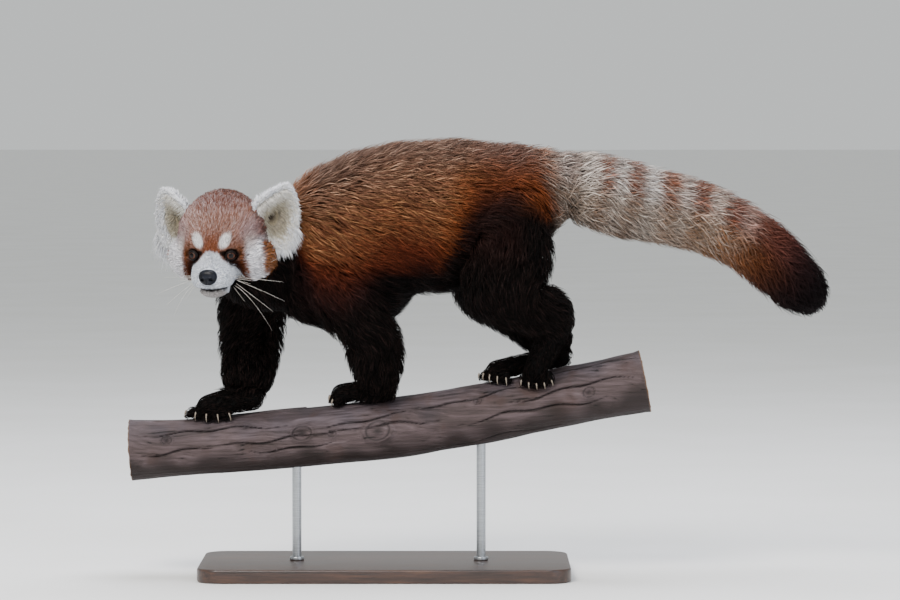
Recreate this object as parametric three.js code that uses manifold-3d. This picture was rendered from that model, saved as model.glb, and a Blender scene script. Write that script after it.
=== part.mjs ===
// A red panda walking along a cut branch, life size, on a display stand.
// Millimetres, +Z up. +X runs from the animal's head to its tail, -Y is its left side,
// and the origin is the middle of the base's underside.
import * as THREE from "three";
import { mergeVertices } from "three/addons/utils/BufferGeometryUtils.js";
import Module from "manifold-3d";

const wasm = await Module();
wasm.setup();

// Driving dimensions.
const GAP = 0.3; // left between pieces that touch
const CORE_SHARE = 0.5; // how far a node's core reaches into its coat: 0 is the skin, 1 the tips
const COAT = { trunk: 26, neck: 24, tail: 30, leg: 18 }; // depth from the skin to the tips
const HEAD_AT = new THREE.Vector3(-207, -79, 435); // the middle of the skull
const HEAD_TURN = 166; // degrees about Z that bring the head's own +Y to where it looks
const HEAD_PITCH = 10; // degrees that the muzzle points down
const BASE = { length: 480, depth: 230, height: 18, corner: 30, edge: 2.5 };
const ROD = { radius: 6, at: [-115, 125] };

const RUST = { color: 0x8a4a22, roughness: 0.85, metalness: 0 };
const BLACK = { color: 0x16100e, roughness: 0.85, metalness: 0 };
const FACE = { color: 0xb98a6a, roughness: 0.85, metalness: 0 };
const WHITE = { color: 0xe9e6e2, roughness: 0.85, metalness: 0 };
const TAIL_DARK = { color: 0x9a6242, roughness: 0.85, metalness: 0 };
const TAIL_LIGHT = { color: 0xc9a98c, roughness: 0.85, metalness: 0 };
const TAIL_TIP = { color: 0x3a1c14, roughness: 0.85, metalness: 0 };
const EYE = { color: 0x120b08, roughness: 0.08, metalness: 0 };
const NOSE = { color: 0x14141a, roughness: 0.35, metalness: 0 };
const CLAW = { color: 0xb9b0a2, roughness: 0.4, metalness: 0 };
const BARK = { color: 0x85706a, roughness: 0.9, metalness: 0 };
const BASE_WOOD = { color: 0x3b2a20, roughness: 0.4, metalness: 0 };
const STEEL = { color: 0x8f9296, roughness: 0.3, metalness: 1 };

// Sections along each limb. wide is the half width across the limb, high and low the half depths
// on its upper and lower sides, or on the front and rear of a leg, all out to the coat's tips.
const section = (x, y, z, wide, high, low) => ({ x, y, z, wide, high, low });
const SECTIONS = {
  trunk: [
    section(-110, -2, 419, 60, 78, 104),
    section(-65, 0, 436, 74, 97, 132),
    section(6, 0, 465, 83, 96, 104),
    section(72, 0, 466, 85, 101, 100),
    section(130, 0, 474, 79, 94, 88),
    section(178, 0, 492, 64, 73, 68),
    section(214, 0, 507, 46, 51, 48),
  ],
  neck: [
    section(-92, -2, 440, 58, 70, 90),
    section(-133, -10, 434, 56, 62, 90),
    section(-165, -30, 430, 54, 58, 86),
    section(-186, -52, 426, 50, 54, 76),
  ],
  tail: [
    section(212, 0, 507, 44, 51, 47),
    section(251, 2, 503, 46, 50, 47),
    section(295, 5, 493, 48, 50, 50),
    section(344, 9, 481, 47, 48, 47),
    section(396, 13, 468, 45, 48, 44),
    section(442, 17, 449, 43, 47, 39),
    section(481, 20, 424, 42, 47, 37),
    section(516, 22, 395, 40, 44, 38),
    section(546, 23, 369, 34, 34, 34),
  ],
  foreleg_left: [
    section(-78, -32, 410, 34, 46, 44),
    section(-46, -48, 363, 34, 52, 38),
    section(-15, -52, 321, 32, 45, 34),
    section(-9, -44, 287, 30, 38, 35),
    section(-9, -24, 254, 27, 29, 28),
  ],
  foreleg_right: [
    section(-135, 26, 406, 34, 54, 46),
    section(-163, 36, 357, 34, 60, 44),
    section(-171, 36, 316, 31, 48, 41),
    section(-176, 26, 283, 30, 39, 37),
    section(-179, 4, 250, 28, 35, 33),
  ],
  thigh_left: [
    section(169, -34, 481, 36, 58, 40),
    section(156, -50, 429, 38, 56, 62),
    section(140, -60, 379, 36, 52, 60),
  ],
  shank_left: [
    section(139, -62, 372, 32, 42, 50),
    section(188, -58, 353, 30, 36, 48),
    section(222, -50, 341, 25, 30, 34),
  ],
  thigh_right: [
    section(169, 34, 481, 36, 56, 40),
    section(150, 50, 425, 38, 54, 54),
    section(130, 58, 370, 34, 48, 44),
  ],
  shank_right: [
    section(131, 62, 364, 32, 38, 38),
    section(182, 48, 330, 29, 33, 33),
    section(221, 24, 303, 25, 26, 28),
  ],
  branch: [
    section(-331, 0, 162, 40, 40, 40),
    section(-240, 0, 167, 37, 37, 37),
    section(-162, 0, 175, 39, 39, 39),
    section(-84, 0, 181, 38, 38, 38),
    section(20, 0, 192, 40, 40, 40),
    section(124, 0, 209, 39.5, 39.5, 39.5),
    section(228, 0, 230, 39, 39, 39),
    section(338, 0, 252, 41, 41, 41),
  ],
};

const radians = THREE.MathUtils.degToRad;
const UP = new THREE.Vector3(0, 0, 1);
const AHEAD = new THREE.Vector3(-1, 0, 0);

// A seeded random number from 0 to 1, the same on every run.
let seed = 20261;
const random = () => {
  seed = (seed * 16807) % 2147483647;
  return seed / 2147483647;
};
const vary = (amount) => (random() * 2 - 1) * amount;

// A closed three.js geometry as a solid that can be joined and cut.
function solidOf(geometry) {
  const plain = geometry.index ? geometry.toNonIndexed() : geometry.clone();
  const bare = new THREE.BufferGeometry().setAttribute("position", plain.getAttribute("position"));
  const merged = mergeVertices(bare, 1e-4);
  const mesh = new wasm.Mesh({
    numProp: 3,
    vertProperties: merged.attributes.position.array,
    triVerts: new Uint32Array(merged.index.array),
  });
  return new wasm.Manifold(mesh);
}

// A solid from rings of points, each closed by its last point's link to the first, with an end
// that is either one point or a fan over its ring.
function loftOf(rings) {
  const points = [];
  const faces = [];
  const starts = rings.map((ring) => {
    const start = points.length;
    points.push(...ring);
    return start;
  });
  const cap = (k, flip) => {
    const ring = rings[k];
    for (let i = 1; i < ring.length - 1; i++) {
      const face = [starts[k], starts[k] + i, starts[k] + i + 1];
      faces.push(flip ? face.reverse() : face);
    }
  };
  for (let k = 0; k < rings.length - 1; k++) {
    const n = rings[k].length;
    const m = rings[k + 1].length;
    for (let i = 0; i < Math.max(n, m); i++) {
      const a = starts[k] + (i % n);
      const b = starts[k] + ((i + 1) % n);
      const c = starts[k + 1] + (i % m);
      const d = starts[k + 1] + ((i + 1) % m);
      if (n > 1) faces.push([a, b, c]);
      if (m > 1) faces.push([b, d, c]);
    }
  }
  if (rings[0].length > 1) cap(0, true);
  if (rings.at(-1).length > 1) cap(rings.length - 1, false);
  return solidFrom(points, faces);
}

// A solid from points and triangles, turned so that its faces point outwards.
function solidFrom(points, faces) {
  const volume = faces.reduce((sum, [a, b, c]) => {
    const cross = new THREE.Vector3().crossVectors(points[b], points[c]);
    return sum + points[a].dot(cross);
  }, 0);
  const ordered = volume < 0 ? faces.map(([a, b, c]) => [a, c, b]) : faces;
  const geometry = new THREE.BufferGeometry().setFromPoints(points).setIndex(ordered.flat());
  return solidOf(geometry);
}

const joined = (solids) => solids.reduce((whole, solid) => whole.add(solid));
const largest = (solid) =>
  solid.decompose().reduce((most, body) => (body.volume() > most.volume() ? body : most));

// A round-sectioned length of the body along a smooth line through its sections.
class Limb {
  constructor(sections, { coat = 0, up = UP, around = 16, step = 20, domes = [20, 20], pointed = false }) {
    const curve = (pick) => new THREE.CatmullRomCurve3(sections.map(pick), false, "catmullrom", 0.5);
    this.line = curve((s) => new THREE.Vector3(s.x, s.y, s.z));
    this.sizes = curve((s) => new THREE.Vector3(s.wide, s.high, s.low));
    this.length = this.line.getLength();
    this.inset = coat * (1 - CORE_SHARE); // how far the coat's tips stand off the core
    this.up = up;
    this.around = around;
    this.step = step;
    this.domes = domes.map((d) => d / this.length);
    this.pointed = pointed; // whether its coat closes over its far end, as at the tip of the tail
    this.samples = Array.from({ length: 41 }, (_, i) => this.frame(i / 40));
  }

  // Where the limb runs and how large it is at t, from 0 to 1 and on into the domes past them,
  // or past its ends at its full size where it is open.
  frame(t, open = false) {
    const at = THREE.MathUtils.clamp(t, 0, 1);
    const along = this.line.getTangent(at).normalize();
    const side = new THREE.Vector3().crossVectors(along, this.up).normalize();
    const up = new THREE.Vector3().crossVectors(side, along);
    const past = t - at;
    const dome = past < 0 ? this.domes[0] : this.domes[1];
    const shrink = past === 0 || open ? 1 : Math.sqrt(Math.max(0, 1 - (past / dome) ** 2));
    const size = this.sizes.getPoint(at);
    const scaled = (s) => Math.max(0.01, (s - this.inset) * shrink);
    const centre = this.line.getPoint(at).addScaledVector(along, past * this.length);
    return { t, centre, along, side, up, wide: scaled(size.x), high: scaled(size.y), low: scaled(size.z) };
  }

  // The point at t, at an angle round the limb, h above its core.
  surface(t, angle, h = 0, open = false) {
    const f = this.frame(t, open);
    const depth = Math.sin(angle) > 0 ? f.high : f.low;
    return f.centre
      .clone()
      .addScaledVector(f.side, Math.cos(angle) * (f.wide + h))
      .addScaledVector(f.up, Math.sin(angle) * (depth + h));
  }

  // About how far a point lies outside the core, negative inside it.
  depth(point) {
    const near = this.samples.reduce((best, f) =>
      f.centre.distanceToSquared(point) < best.centre.distanceToSquared(point) ? f : best,
    );
    const slip = point.clone().sub(near.centre).dot(near.along) / this.length;
    const f = this.frame(THREE.MathUtils.clamp(near.t + slip, -this.domes[0] * 0.98, 1 + this.domes[1] * 0.98));
    const away = point.clone().sub(f.centre);
    const across = away.dot(f.side) / f.wide;
    const above = away.dot(f.up);
    const share = Math.hypot(across, above / (above > 0 ? f.high : f.low), away.dot(f.along) / 20);
    return away.length() * (1 - 1 / Math.max(share, 1e-6));
  }

  // The length from one t to another, swollen by grow. An end at 0 or 1 closes in a dome.
  piece(from = 0, to = 1, grow = 0) {
    const rows = [];
    const dome = (sign) => [0.45, 0.83, 1].map((q) => sign * q);
    const half = GAP / 2 / this.length;
    const reach = grow / this.length;
    const start = from > 0 ? from + half - reach : 0;
    const end = to < 1 ? to - half + reach : 1;
    if (from === 0 && this.domes[0]) rows.push(...dome(-this.domes[0]).reverse());
    const count = Math.max(1, Math.round(((end - start) * this.length) / this.step));
    for (let i = 0; i <= count; i++) rows.push(start + ((end - start) * i) / count);
    if (to === 1 && this.domes[1]) rows.push(...dome(this.domes[1]).map((q) => 1 + q));
    const rings = rows.map((t) => {
      const f = this.frame(t);
      const pole = (t < 0 && t <= -this.domes[0]) || (t > 1 && t >= 1 + this.domes[1]);
      if (pole) return [f.centre.clone().addScaledVector(f.along, Math.sign(t - 0.5) * grow)];
      return Array.from({ length: this.around }, (_, i) =>
        this.surface(t, (2 * Math.PI * (i + 0.5)) / this.around, grow),
      );
    });
    return loftOf(rings);
  }
}

// The head's soft form: ellipsoids blended into one surface, in the head's own frame, where
// +Y looks ahead, +X is the animal's right and +Z the crown.
const ellipsoid = (x, y, z, wide, long, tall) => ({ x, y, z, wide, long, tall });
const HEAD_FORMS = {
  cranium: [ellipsoid(0, -8, 9, 60, 54, 59)],
  face: [ellipsoid(0, 12, -6, 54, 36, 44)],
  cheeks: [ellipsoid(38, 4, -18, 33, 34, 32), ellipsoid(-38, 4, -18, 33, 34, 32)],
  muzzle: [ellipsoid(0, 34, -31, 30, 34, 22)],
  lips: [ellipsoid(11, 48, -38, 15, 18, 12), ellipsoid(-11, 48, -38, 15, 18, 12)],
  brows: [ellipsoid(22, 26, 10, 17, 17, 14), ellipsoid(-22, 26, 10, 17, 17, 14)],
};
const HEAD_BLEND = 9; // the width over which two forms melt together
// The head is drawn out from a line of points within it, from the muzzle to the back of the skull.
const headHub = (polar) => new THREE.Vector3(0, -6, 2).lerp(new THREE.Vector3(0, 32, -28), Math.cos(polar / 2) ** 4);
const headMatrix = new THREE.Matrix4()
  .makeTranslation(HEAD_AT)
  .multiply(new THREE.Matrix4().makeRotationZ(radians(HEAD_TURN)))
  .multiply(new THREE.Matrix4().makeRotationX(radians(-HEAD_PITCH)));
const headInverse = headMatrix.clone().invert();

function ellipsoidDistance(point, e) {
  const x = (point.x - e.x) / e.wide;
  const y = (point.y - e.y) / e.long;
  const z = (point.z - e.z) / e.tall;
  const share = Math.hypot(x, y, z);
  const slope = Math.hypot(x / e.wide, y / e.long, z / e.tall);
  return (share * (share - 1)) / Math.max(slope, 1e-6);
}

// About how far a point lies outside the blended forms.
function formDistance(point, forms) {
  const total = forms.reduce((sum, e) => sum + Math.exp(-ellipsoidDistance(point, e) / (HEAD_BLEND / 3)), 0);
  return (-HEAD_BLEND / 3) * Math.log(Math.max(total, 1e-30));
}
const headForms = Object.values(HEAD_FORMS).flat();

// The point of the head's surface in a direction, from its pole at the nose and an angle round it.
function headSurface(polar, angle, h = 0) {
  const direction = new THREE.Vector3(
    Math.sin(polar) * Math.cos(angle),
    Math.cos(polar),
    Math.sin(polar) * Math.sin(angle),
  );
  let outside = 110;
  let inside = 0;
  const hub = headHub(polar);
  const at = (r) => hub.clone().addScaledVector(direction, r);
  while (outside > 10 && formDistance(at(outside - 2), headForms) > 0) outside -= 2;
  inside = outside - 2;
  for (let i = 0; i < 14; i++) {
    const middle = (inside + outside) / 2;
    if (formDistance(at(middle), headForms) > 0) outside = middle;
    else inside = middle;
  }
  return at(outside + h);
}

function headCore(grow = 0) {
  const rows = 20;
  const around = 26;
  const rings = [[headSurface(0, 0, grow)]];
  for (let i = 1; i < rows; i++) {
    const polar = Math.PI * (i / rows) ** 1.1;
    rings.push(
      Array.from({ length: around }, (_, j) => headSurface(polar, (2 * Math.PI * j) / around, grow)),
    );
  }
  rings.push([headSurface(Math.PI, 0, grow)]);
  return grow ? loftOf(rings) : joined([loftOf(rings), lids(1), lids(-1)]);
}

// An ellipsoid solid in the frame that it is given in.
function ellipsoidSolid(e, grow = 0, columns = 12, rows = 8) {
  const ball = new THREE.SphereGeometry(1, columns, rows);
  ball.scale(e.wide + grow, e.long + grow, e.tall + grow).translate(e.x, e.y, e.z);
  return solidOf(ball);
}

const toWorld = (solid) => solid.transform(headMatrix.elements);

// The head's small parts, in its own frame.
const EYE_BALL = { radius: 7.6, x: 25, z: -8, out: 4.2 }; // out: how far its middle lies under the surface
const EYE_AXIS = new THREE.Vector3(0.4, 0.91, 0.06).normalize();
const LID = { radius: 6.6, tube: 2, lift: 4.6, squash: 0.82 };
const NOSE_PAD = ellipsoid(0, 66, -32, 12, 8, 10);
const NOSTRIL = { x: 5.2, y: 74, z: -33.5, wide: 2.6, long: 5, tall: 2 };
const CHIN = [ellipsoid(0, 37, -51, 20, 25, 13)];

const mirrored = (v, sign) => new THREE.Vector3(v.x * sign, v.y, v.z);

// How far ahead the head's surface lies above a place on its face.
function faceAt(x, z) {
  let y = 110;
  while (y > 0 && formDistance(new THREE.Vector3(x, y, z), headForms) > 0) y -= 0.25;
  return y;
}

const eyeCentre = (sign) =>
  new THREE.Vector3(sign * EYE_BALL.x, faceAt(EYE_BALL.x, EYE_BALL.z), EYE_BALL.z).addScaledVector(
    mirrored(EYE_AXIS, sign),
    -EYE_BALL.out,
  );

function eyeBall(sign, grow = 0) {
  const ball = new THREE.IcosahedronGeometry(EYE_BALL.radius + 2.5 * grow, grow ? 1 : 2);
  ball.translate(...eyeCentre(sign).toArray());
  return solidOf(ball);
}

function lids(sign) {
  const axis = mirrored(EYE_AXIS, sign);
  const turn = new THREE.Quaternion().setFromUnitVectors(UP, axis);
  const ring = new THREE.TorusGeometry(LID.radius, LID.tube, 5, 14);
  ring.scale(1, LID.squash, 1).applyQuaternion(turn);
  ring.translate(...eyeCentre(sign).addScaledVector(axis, LID.lift).toArray());
  return solidOf(ring);
}

function nosePad(grow = 0) {
  const holes = [-1, 1].map((sign) => {
    const hole = ellipsoid(sign * NOSTRIL.x, NOSTRIL.y, NOSTRIL.z, NOSTRIL.wide, NOSTRIL.long, NOSTRIL.tall);
    return ellipsoidSolid(hole, 0, 7, 5);
  });
  const pad = ellipsoidSolid(NOSE_PAD, grow, 12, 8);
  return grow ? pad : pad.subtract(joined(holes));
}

// Ears: a dish whose rim starts on the crown, runs out over the tip and down to its lower end
// beside the cheek, and comes back to its start inside the head. Given for the right ear.
const EAR = {
  rim: [
    [46, -3, 47], [60, -13, 60], [72, -21, 67], [82, -27, 69], [90, -31, 58], [94, -31, 40],
    [94, -28, 21], [90, -24, 3], [80, -17, -9], [62, -6, -4], [48, 0, 20],
  ],
  hub: new THREE.Vector3(64, -12, 33),
  facing: new THREE.Vector3(0.5, 0.85, 0.1).normalize(),
  cup: 15,
  thick: 5,
  edge: 3,
  around: 13,
  droop: { 1: 6, [-1]: 0 }, // how much lower the tip of the right ear, 1, or the left one, -1, is held
};
const earRim = new THREE.CatmullRomCurve3(
  EAR.rim.map((p) => new THREE.Vector3(...p)),
  true,
);

// A point of an ear: u round the rim from 0 to 1, r from its hub to its rim, under the face by d.
function earPoint(sign, u, r, d = 0) {
  const rim = earRim.getPoint(u);
  const sunk = EAR.cup * (1 - r * r) + d;
  const point = EAR.hub.clone().lerp(rim, r).addScaledVector(EAR.facing, -sunk);
  point.z -= EAR.droop[sign] * THREE.MathUtils.clamp(point.z / 70, 0, 1);
  point.x *= sign;
  return point;
}

function ear(sign, grow = 0) {
  const ring = (r, d) =>
    Array.from({ length: EAR.around }, (_, i) => earPoint(sign, i / EAR.around, r, d));
  const wide = 1 + grow / 35;
  const back = EAR.thick + grow;
  return loftOf([
    [earPoint(sign, 0, 0, -grow)],
    ring(0.55, -grow),
    ring(0.97 * wide, -grow),
    ring(wide, EAR.edge * 0.4),
    ring(0.95 * wide, EAR.edge + grow),
    ring(0.6 * wide, back),
    [earPoint(sign, 0, 0, back + 2)],
  ]);
}

// The limbs, at their cores.
const legOf = (sections, domes) => new Limb(sections, { coat: COAT.leg, around: 7, step: 38, domes, up: AHEAD });
const limbs = {
  trunk: new Limb(SECTIONS.trunk, { coat: COAT.trunk, around: 16, step: 36, domes: [52, 26] }),
  neck: new Limb(SECTIONS.neck, { coat: COAT.neck, around: 14, step: 28, domes: [10, 18] }),
  tail: new Limb(SECTIONS.tail, { coat: COAT.tail, around: 10, step: 28, domes: [6, 30], pointed: true }),
  foreleg_left: legOf(SECTIONS.foreleg_left, [30, 14]),
  foreleg_right: legOf(SECTIONS.foreleg_right, [30, 14]),
  thigh_left: legOf(SECTIONS.thigh_left, [24, 34]),
  thigh_right: legOf(SECTIONS.thigh_right, [24, 34]),
  shank_left: legOf(SECTIONS.shank_left, [24, 20]),
  shank_right: legOf(SECTIONS.shank_right, [24, 20]),
  branch: new Limb(SECTIONS.branch, { around: 14, step: 48, domes: [0, 0] }),
};

// Where the branch's surface lies at x, at an angle round it from its near side over its top.
const branchAt = (x, degrees, h) => {
  const span = SECTIONS.branch.at(-1).x - SECTIONS.branch[0].x;
  let t = (x - SECTIONS.branch[0].x) / span;
  for (let i = 0; i < 6; i++) t += (x - limbs.branch.line.getPoint(t).x) / span;
  return limbs.branch.surface(t, radians(degrees), h);
};
const BRANCH_RADIUS = 39;
const aroundBranch = (mm) => (mm / BRANCH_RADIUS) * (180 / Math.PI);

// Each foot stands on the branch at x, round it by an angle, and points by heading away from
// straight ahead, towards the near side. heel is where its limb begins, back from the ball.
const TOE = { length: 13, radius: 7.5, gather: 0.7, fan: 5 };
const FEET = {
  forefoot_left: { x: -44, angle: 92, heading: -4, spread: 7.6, wide: 25, thick: 14, heel: new THREE.Vector3(2, -12, 240) },
  forefoot_right: { x: -221, angle: 88, heading: 74, spread: 13, wide: 28, thick: 16, heel: new THREE.Vector3(-172, 2, 232) },
  hindfoot_left: { x: 206, angle: 62, heading: 78, spread: 7.6, wide: 23, thick: 17, heel: new THREE.Vector3(228, -50, 336) },
  hindfoot_right: { x: 161, angle: 92, heading: 46, spread: 9, wide: 20, thick: 14, heel: new THREE.Vector3(230, 18, 282) },
};
const TOES = 5;
const CLAW_SIZE = { length: 13, radius: 2.4, hook: 6.5, around: 4, rows: 2 };

// A place on the branch's surface, ahead of a foot's ball and to its side, h above the bark.
function beside(foot, ahead, aside, h) {
  const turn = radians(foot.heading);
  const along = -ahead * Math.cos(turn) - aside * Math.sin(turn);
  const around = -ahead * Math.sin(turn) + aside * Math.cos(turn);
  return branchAt(foot.x + along, foot.angle + aroundBranch(around), h);
}

// A plain tapered round bar between two points with round ends.
function bar(from, to, radiusFrom, radiusTo, grow = 0) {
  const rows = 3;
  const around = 6;
  const along = to.clone().sub(from);
  const turn = new THREE.Quaternion().setFromUnitVectors(UP, along.clone().normalize());
  const total = along.length() + radiusFrom + radiusTo;
  const profile = [new THREE.Vector2(0, -radiusFrom - grow)];
  for (let i = 1; i < rows; i++) {
    const z = -radiusFrom + total * 0.5 * (1 - Math.cos((Math.PI * i) / rows));
    const share = THREE.MathUtils.clamp(z / along.length(), 0, 1);
    const radius = THREE.MathUtils.lerp(radiusFrom, radiusTo, share);
    const past = z < 0 ? -z / radiusFrom : Math.max(0, z - along.length()) / radiusTo;
    profile.push(new THREE.Vector2(radius * Math.sqrt(Math.max(0.02, 1 - past * past)) + grow, z));
  }
  profile.push(new THREE.Vector2(0, along.length() + radiusTo + grow));
  const lathe = new THREE.LatheGeometry(profile, around).rotateX(Math.PI / 2);
  return solidOf(lathe.applyQuaternion(turn).translate(...from.toArray()));
}

const toeOffset = (i) => i - (TOES - 1) / 2;

function toeLine(foot, i) {
  const aside = toeOffset(i) * foot.spread;
  const fan = radians(toeOffset(i) * TOE.fan);
  const reach = TOE.length * (1 - 0.08 * toeOffset(i) ** 2);
  const root = beside(foot, 6, aside * TOE.gather, TOE.radius + 2);
  const tip = beside(foot, 6 + reach * Math.cos(fan), aside + reach * Math.sin(fan), TOE.radius * 0.8);
  return { root, tip };
}

function footLimb(foot) {
  const { wide, thick } = foot;
  const ball = beside(foot, 4, 0, thick);
  const middle = foot.heel.clone().lerp(ball, 0.55);
  const stations = [
    section(...foot.heel.toArray(), wide * 0.85, thick * 1.25, thick * 1.25),
    section(...middle.toArray(), wide * 0.95, thick * 1.15, thick * 1.15),
    section(...ball.toArray(), wide, thick, thick),
  ];
  const steep = foot.heel.z - ball.z > 2 * foot.wide;
  return new Limb(stations, { around: 8, step: 40, domes: [12, 14], up: steep ? AHEAD : UP });
}

function footSolid(foot, grow = 0) {
  const toes = Array.from({ length: TOES }, (_, i) => {
    const { root, tip } = toeLine(foot, i);
    return bar(root, tip, TOE.radius, TOE.radius * 0.8, grow);
  });
  return joined([footLimb(foot).piece(0, 1, grow), ...toes]);
}

// A hooked claw that leaves the end of a toe and comes down towards the bark.
function clawSolid(foot, i) {
  const { root, tip } = toeLine(foot, i);
  const ahead = tip.clone().sub(root).normalize();
  const out = tip.clone().sub(beside(foot, 6 + TOE.length, toeOffset(i) * foot.spread, -BRANCH_RADIUS));
  out.addScaledVector(ahead, -out.dot(ahead)).normalize();
  const side = new THREE.Vector3().crossVectors(ahead, out);
  const { length, radius, hook, around, rows } = CLAW_SIZE;
  const rings = [];
  for (let k = 0; k < rows; k++) {
    const s = k / rows;
    const centre = tip
      .clone()
      .addScaledVector(ahead, TOE.radius * 0.25 + length * s)
      .addScaledVector(out, 2.2 - hook * s * s);
    const r = radius * (1 - s * 0.75);
    rings.push(
      Array.from({ length: around }, (_, j) => {
        const angle = (2 * Math.PI * j) / around;
        return centre
          .clone()
          .addScaledVector(side, Math.cos(angle) * r * 0.7)
          .addScaledVector(out, Math.sin(angle) * r);
      }),
    );
  }
  rings.push([tip.clone().addScaledVector(ahead, TOE.radius * 0.25 + length).addScaledVector(out, 2.2 - hook)]);
  return loftOf(rings);
}

// The display stand.
function standBase() {
  const { length, depth, height, corner, edge } = BASE;
  const x = length / 2 - edge;
  const y = depth / 2 - edge;
  const outline = new THREE.Shape()
    .moveTo(-x + corner, -y)
    .lineTo(x - corner, -y)
    .absarc(x - corner, -y + corner, corner, -Math.PI / 2, 0)
    .absarc(x - corner, y - corner, corner, 0, Math.PI / 2)
    .absarc(-x + corner, y - corner, corner, Math.PI / 2, Math.PI)
    .absarc(-x + corner, -y + corner, corner, Math.PI, 1.5 * Math.PI);
  const slab = new THREE.ExtrudeGeometry(outline, {
    depth: height - 2 * edge,
    bevelThickness: edge,
    bevelSize: edge,
    bevelSegments: 1,
    curveSegments: 4,
  });
  return solidOf(slab.translate(0, 0, edge));
}

function standRod(x) {
  const bottom = BASE.height + GAP;
  const top = branchAt(x, 90, 0).z - BRANCH_RADIUS;
  const rod = new THREE.CylinderGeometry(ROD.radius, ROD.radius, top - bottom, 12);
  rod.rotateX(Math.PI / 2).translate(x, 0, (top + bottom) / 2);
  return largest(solidOf(rod).subtract(limbs.branch.piece(0, 1, GAP)));
}

// A flat, tapered lock: rows of a left edge, a ridge and a right edge, and then its tip. Swollen,
// its faces move out by grow, its thin edges by more, as two sloping faces meet there.
function lockSolid(rows, tip, grow = 0) {
  if (!grow) return loftOf([...rows, [tip]]);
  const wider = rows.map(([left, ridge, right], k) => {
    const next = k + 1 < rows.length ? rows[k + 1][1] : tip;
    const along = next.clone().sub(ridge).normalize();
    const across = right.clone().sub(left).normalize();
    const up = ridge.clone().sub(left.clone().lerp(right, 0.5)).normalize();
    const back = k === 0 ? -grow : 0;
    const move = (point, aside, lift) =>
      point.clone().addScaledVector(across, aside).addScaledVector(up, lift).addScaledVector(along, back);
    return [move(left, -3.5 * grow, -0.6 * grow), move(ridge, 0, 1.4 * grow), move(right, 3.5 * grow, -0.6 * grow)];
  });
  const end = tip.clone().sub(rows.at(-1)[1]).normalize();
  return loftOf([...wider, [tip.clone().addScaledVector(end, 4 * grow)]]);
}
const LOCK_ROWS = [0, 0.42, 0.76]; // along a lock from its root, with its tip at 1
const LOCK_WIDTHS = [0.36, 0.5, 0.34]; // its half width there, of its width
const LOCK_EDGES = [-0.45, 0.2, 0.66]; // how high its edges lie, of what the coat stands off the core
const LOCK_RIDGES = [-0.12, 0.78, 1.02];
const LOCK_TIP = 1.06;

// Each node's locks: rows along it and locks round it, their length, which way they lie along
// the limb, and how far they sweep down round it.
const COATS = {
  chest: { rows: 3, around: 5, length: 104, lie: 1, sweep: 0.35 },
  loin: { rows: 3, around: 5, length: 96, lie: 1, sweep: 0.3 },
  neck: { rows: 2, around: 5, length: 64, lie: -1, sweep: 0.3 },
  tail_1: { rows: 2, around: 4, length: 74, lie: 1, sweep: 0.06 },
  tail_2: { rows: 2, around: 4, length: 74, lie: 1, sweep: 0.06 },
  tail_3: { rows: 2, around: 4, length: 74, lie: 1, sweep: 0.06 },
  tail_4: { rows: 2, around: 4, length: 74, lie: 1, sweep: 0.06 },
  foreleg_upper: { rows: 2, around: 4, length: 66, lie: 1, sweep: 0 },
  foreleg_lower: { rows: 2, around: 4, length: 52, lie: 1, sweep: 0 },
  hindleg_upper: { rows: 2, around: 4, length: 76, lie: 1, sweep: 0 },
  hindleg_lower: { rows: 2, around: 4, length: 50, lie: 1, sweep: 0 },
};
const LOCK_SPREAD = 0.92; // a lock's width, of its share of the way round

// Where one lock of a limb lies: its root at t and an angle, and its drawn size.
function layLock(limb, coat, t, angle) {
  const long = (coat.length * (1 + vary(0.12))) / limb.length;
  const spread = (2 * Math.PI * LOCK_SPREAD * (1 + vary(0.08))) / coat.around;
  const bend = vary(0.08);
  const rise = 1 + vary(0.1);
  const open = !limb.pointed;
  const at = (s) => {
    const f = limb.frame(t + coat.lie * long * s, true);
    const radius = (f.wide + f.high + f.low) / 3;
    const swing = (s * coat.length * (bend * s - coat.sweep * Math.cos(angle))) / radius;
    return { t: f.t, angle: angle + swing };
  };
  const solid = (grow = 0) => {
    const rows = LOCK_ROWS.map((s, k) => {
      const { t: along, angle: round } = at(s);
      const half = LOCK_WIDTHS[k] * spread;
      const edge = LOCK_EDGES[k] * rise * limb.inset;
      const ridge = LOCK_RIDGES[k] * rise * limb.inset;
      return [
        limb.surface(along, round - half, edge, open),
        limb.surface(along, round, ridge, open),
        limb.surface(along, round + half, edge, open),
      ];
    });
    const end = at(1);
    return lockSolid(rows, limb.surface(end.t, end.angle, LOCK_TIP * rise * limb.inset, open), grow);
  };
  const spot = (s, h) => limb.surface(at(s).t, at(s).angle, h, open);
  return { root: spot(0.12, 0), tip: spot(0.9, limb.inset), solid };
}

// The locks of a node that is the length of a limb between two values of t. Where the limb runs
// into another one, those whose root or tip would be buried there are left out.
function coatOf(limb, coat, from, to, others) {
  const locks = [];
  for (let i = 0; i < coat.rows; i++) {
    for (let j = 0; j < coat.around; j++) {
      const share = (i + 0.12 + vary(0.06)) / coat.rows;
      const t = coat.lie > 0 ? from + (to - from) * share : to - (to - from) * share;
      const angle = (2 * Math.PI * (j + 0.5 * (i % 2) + vary(0.05))) / coat.around;
      const lock = layLock(limb, coat, t, angle);
      const buried = others.some((other) => other.depth(lock.root) < 2 || other.depth(lock.tip) < 1);
      if (!buried) locks.push(lock.solid);
    }
  }
  return locks;
}

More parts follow.
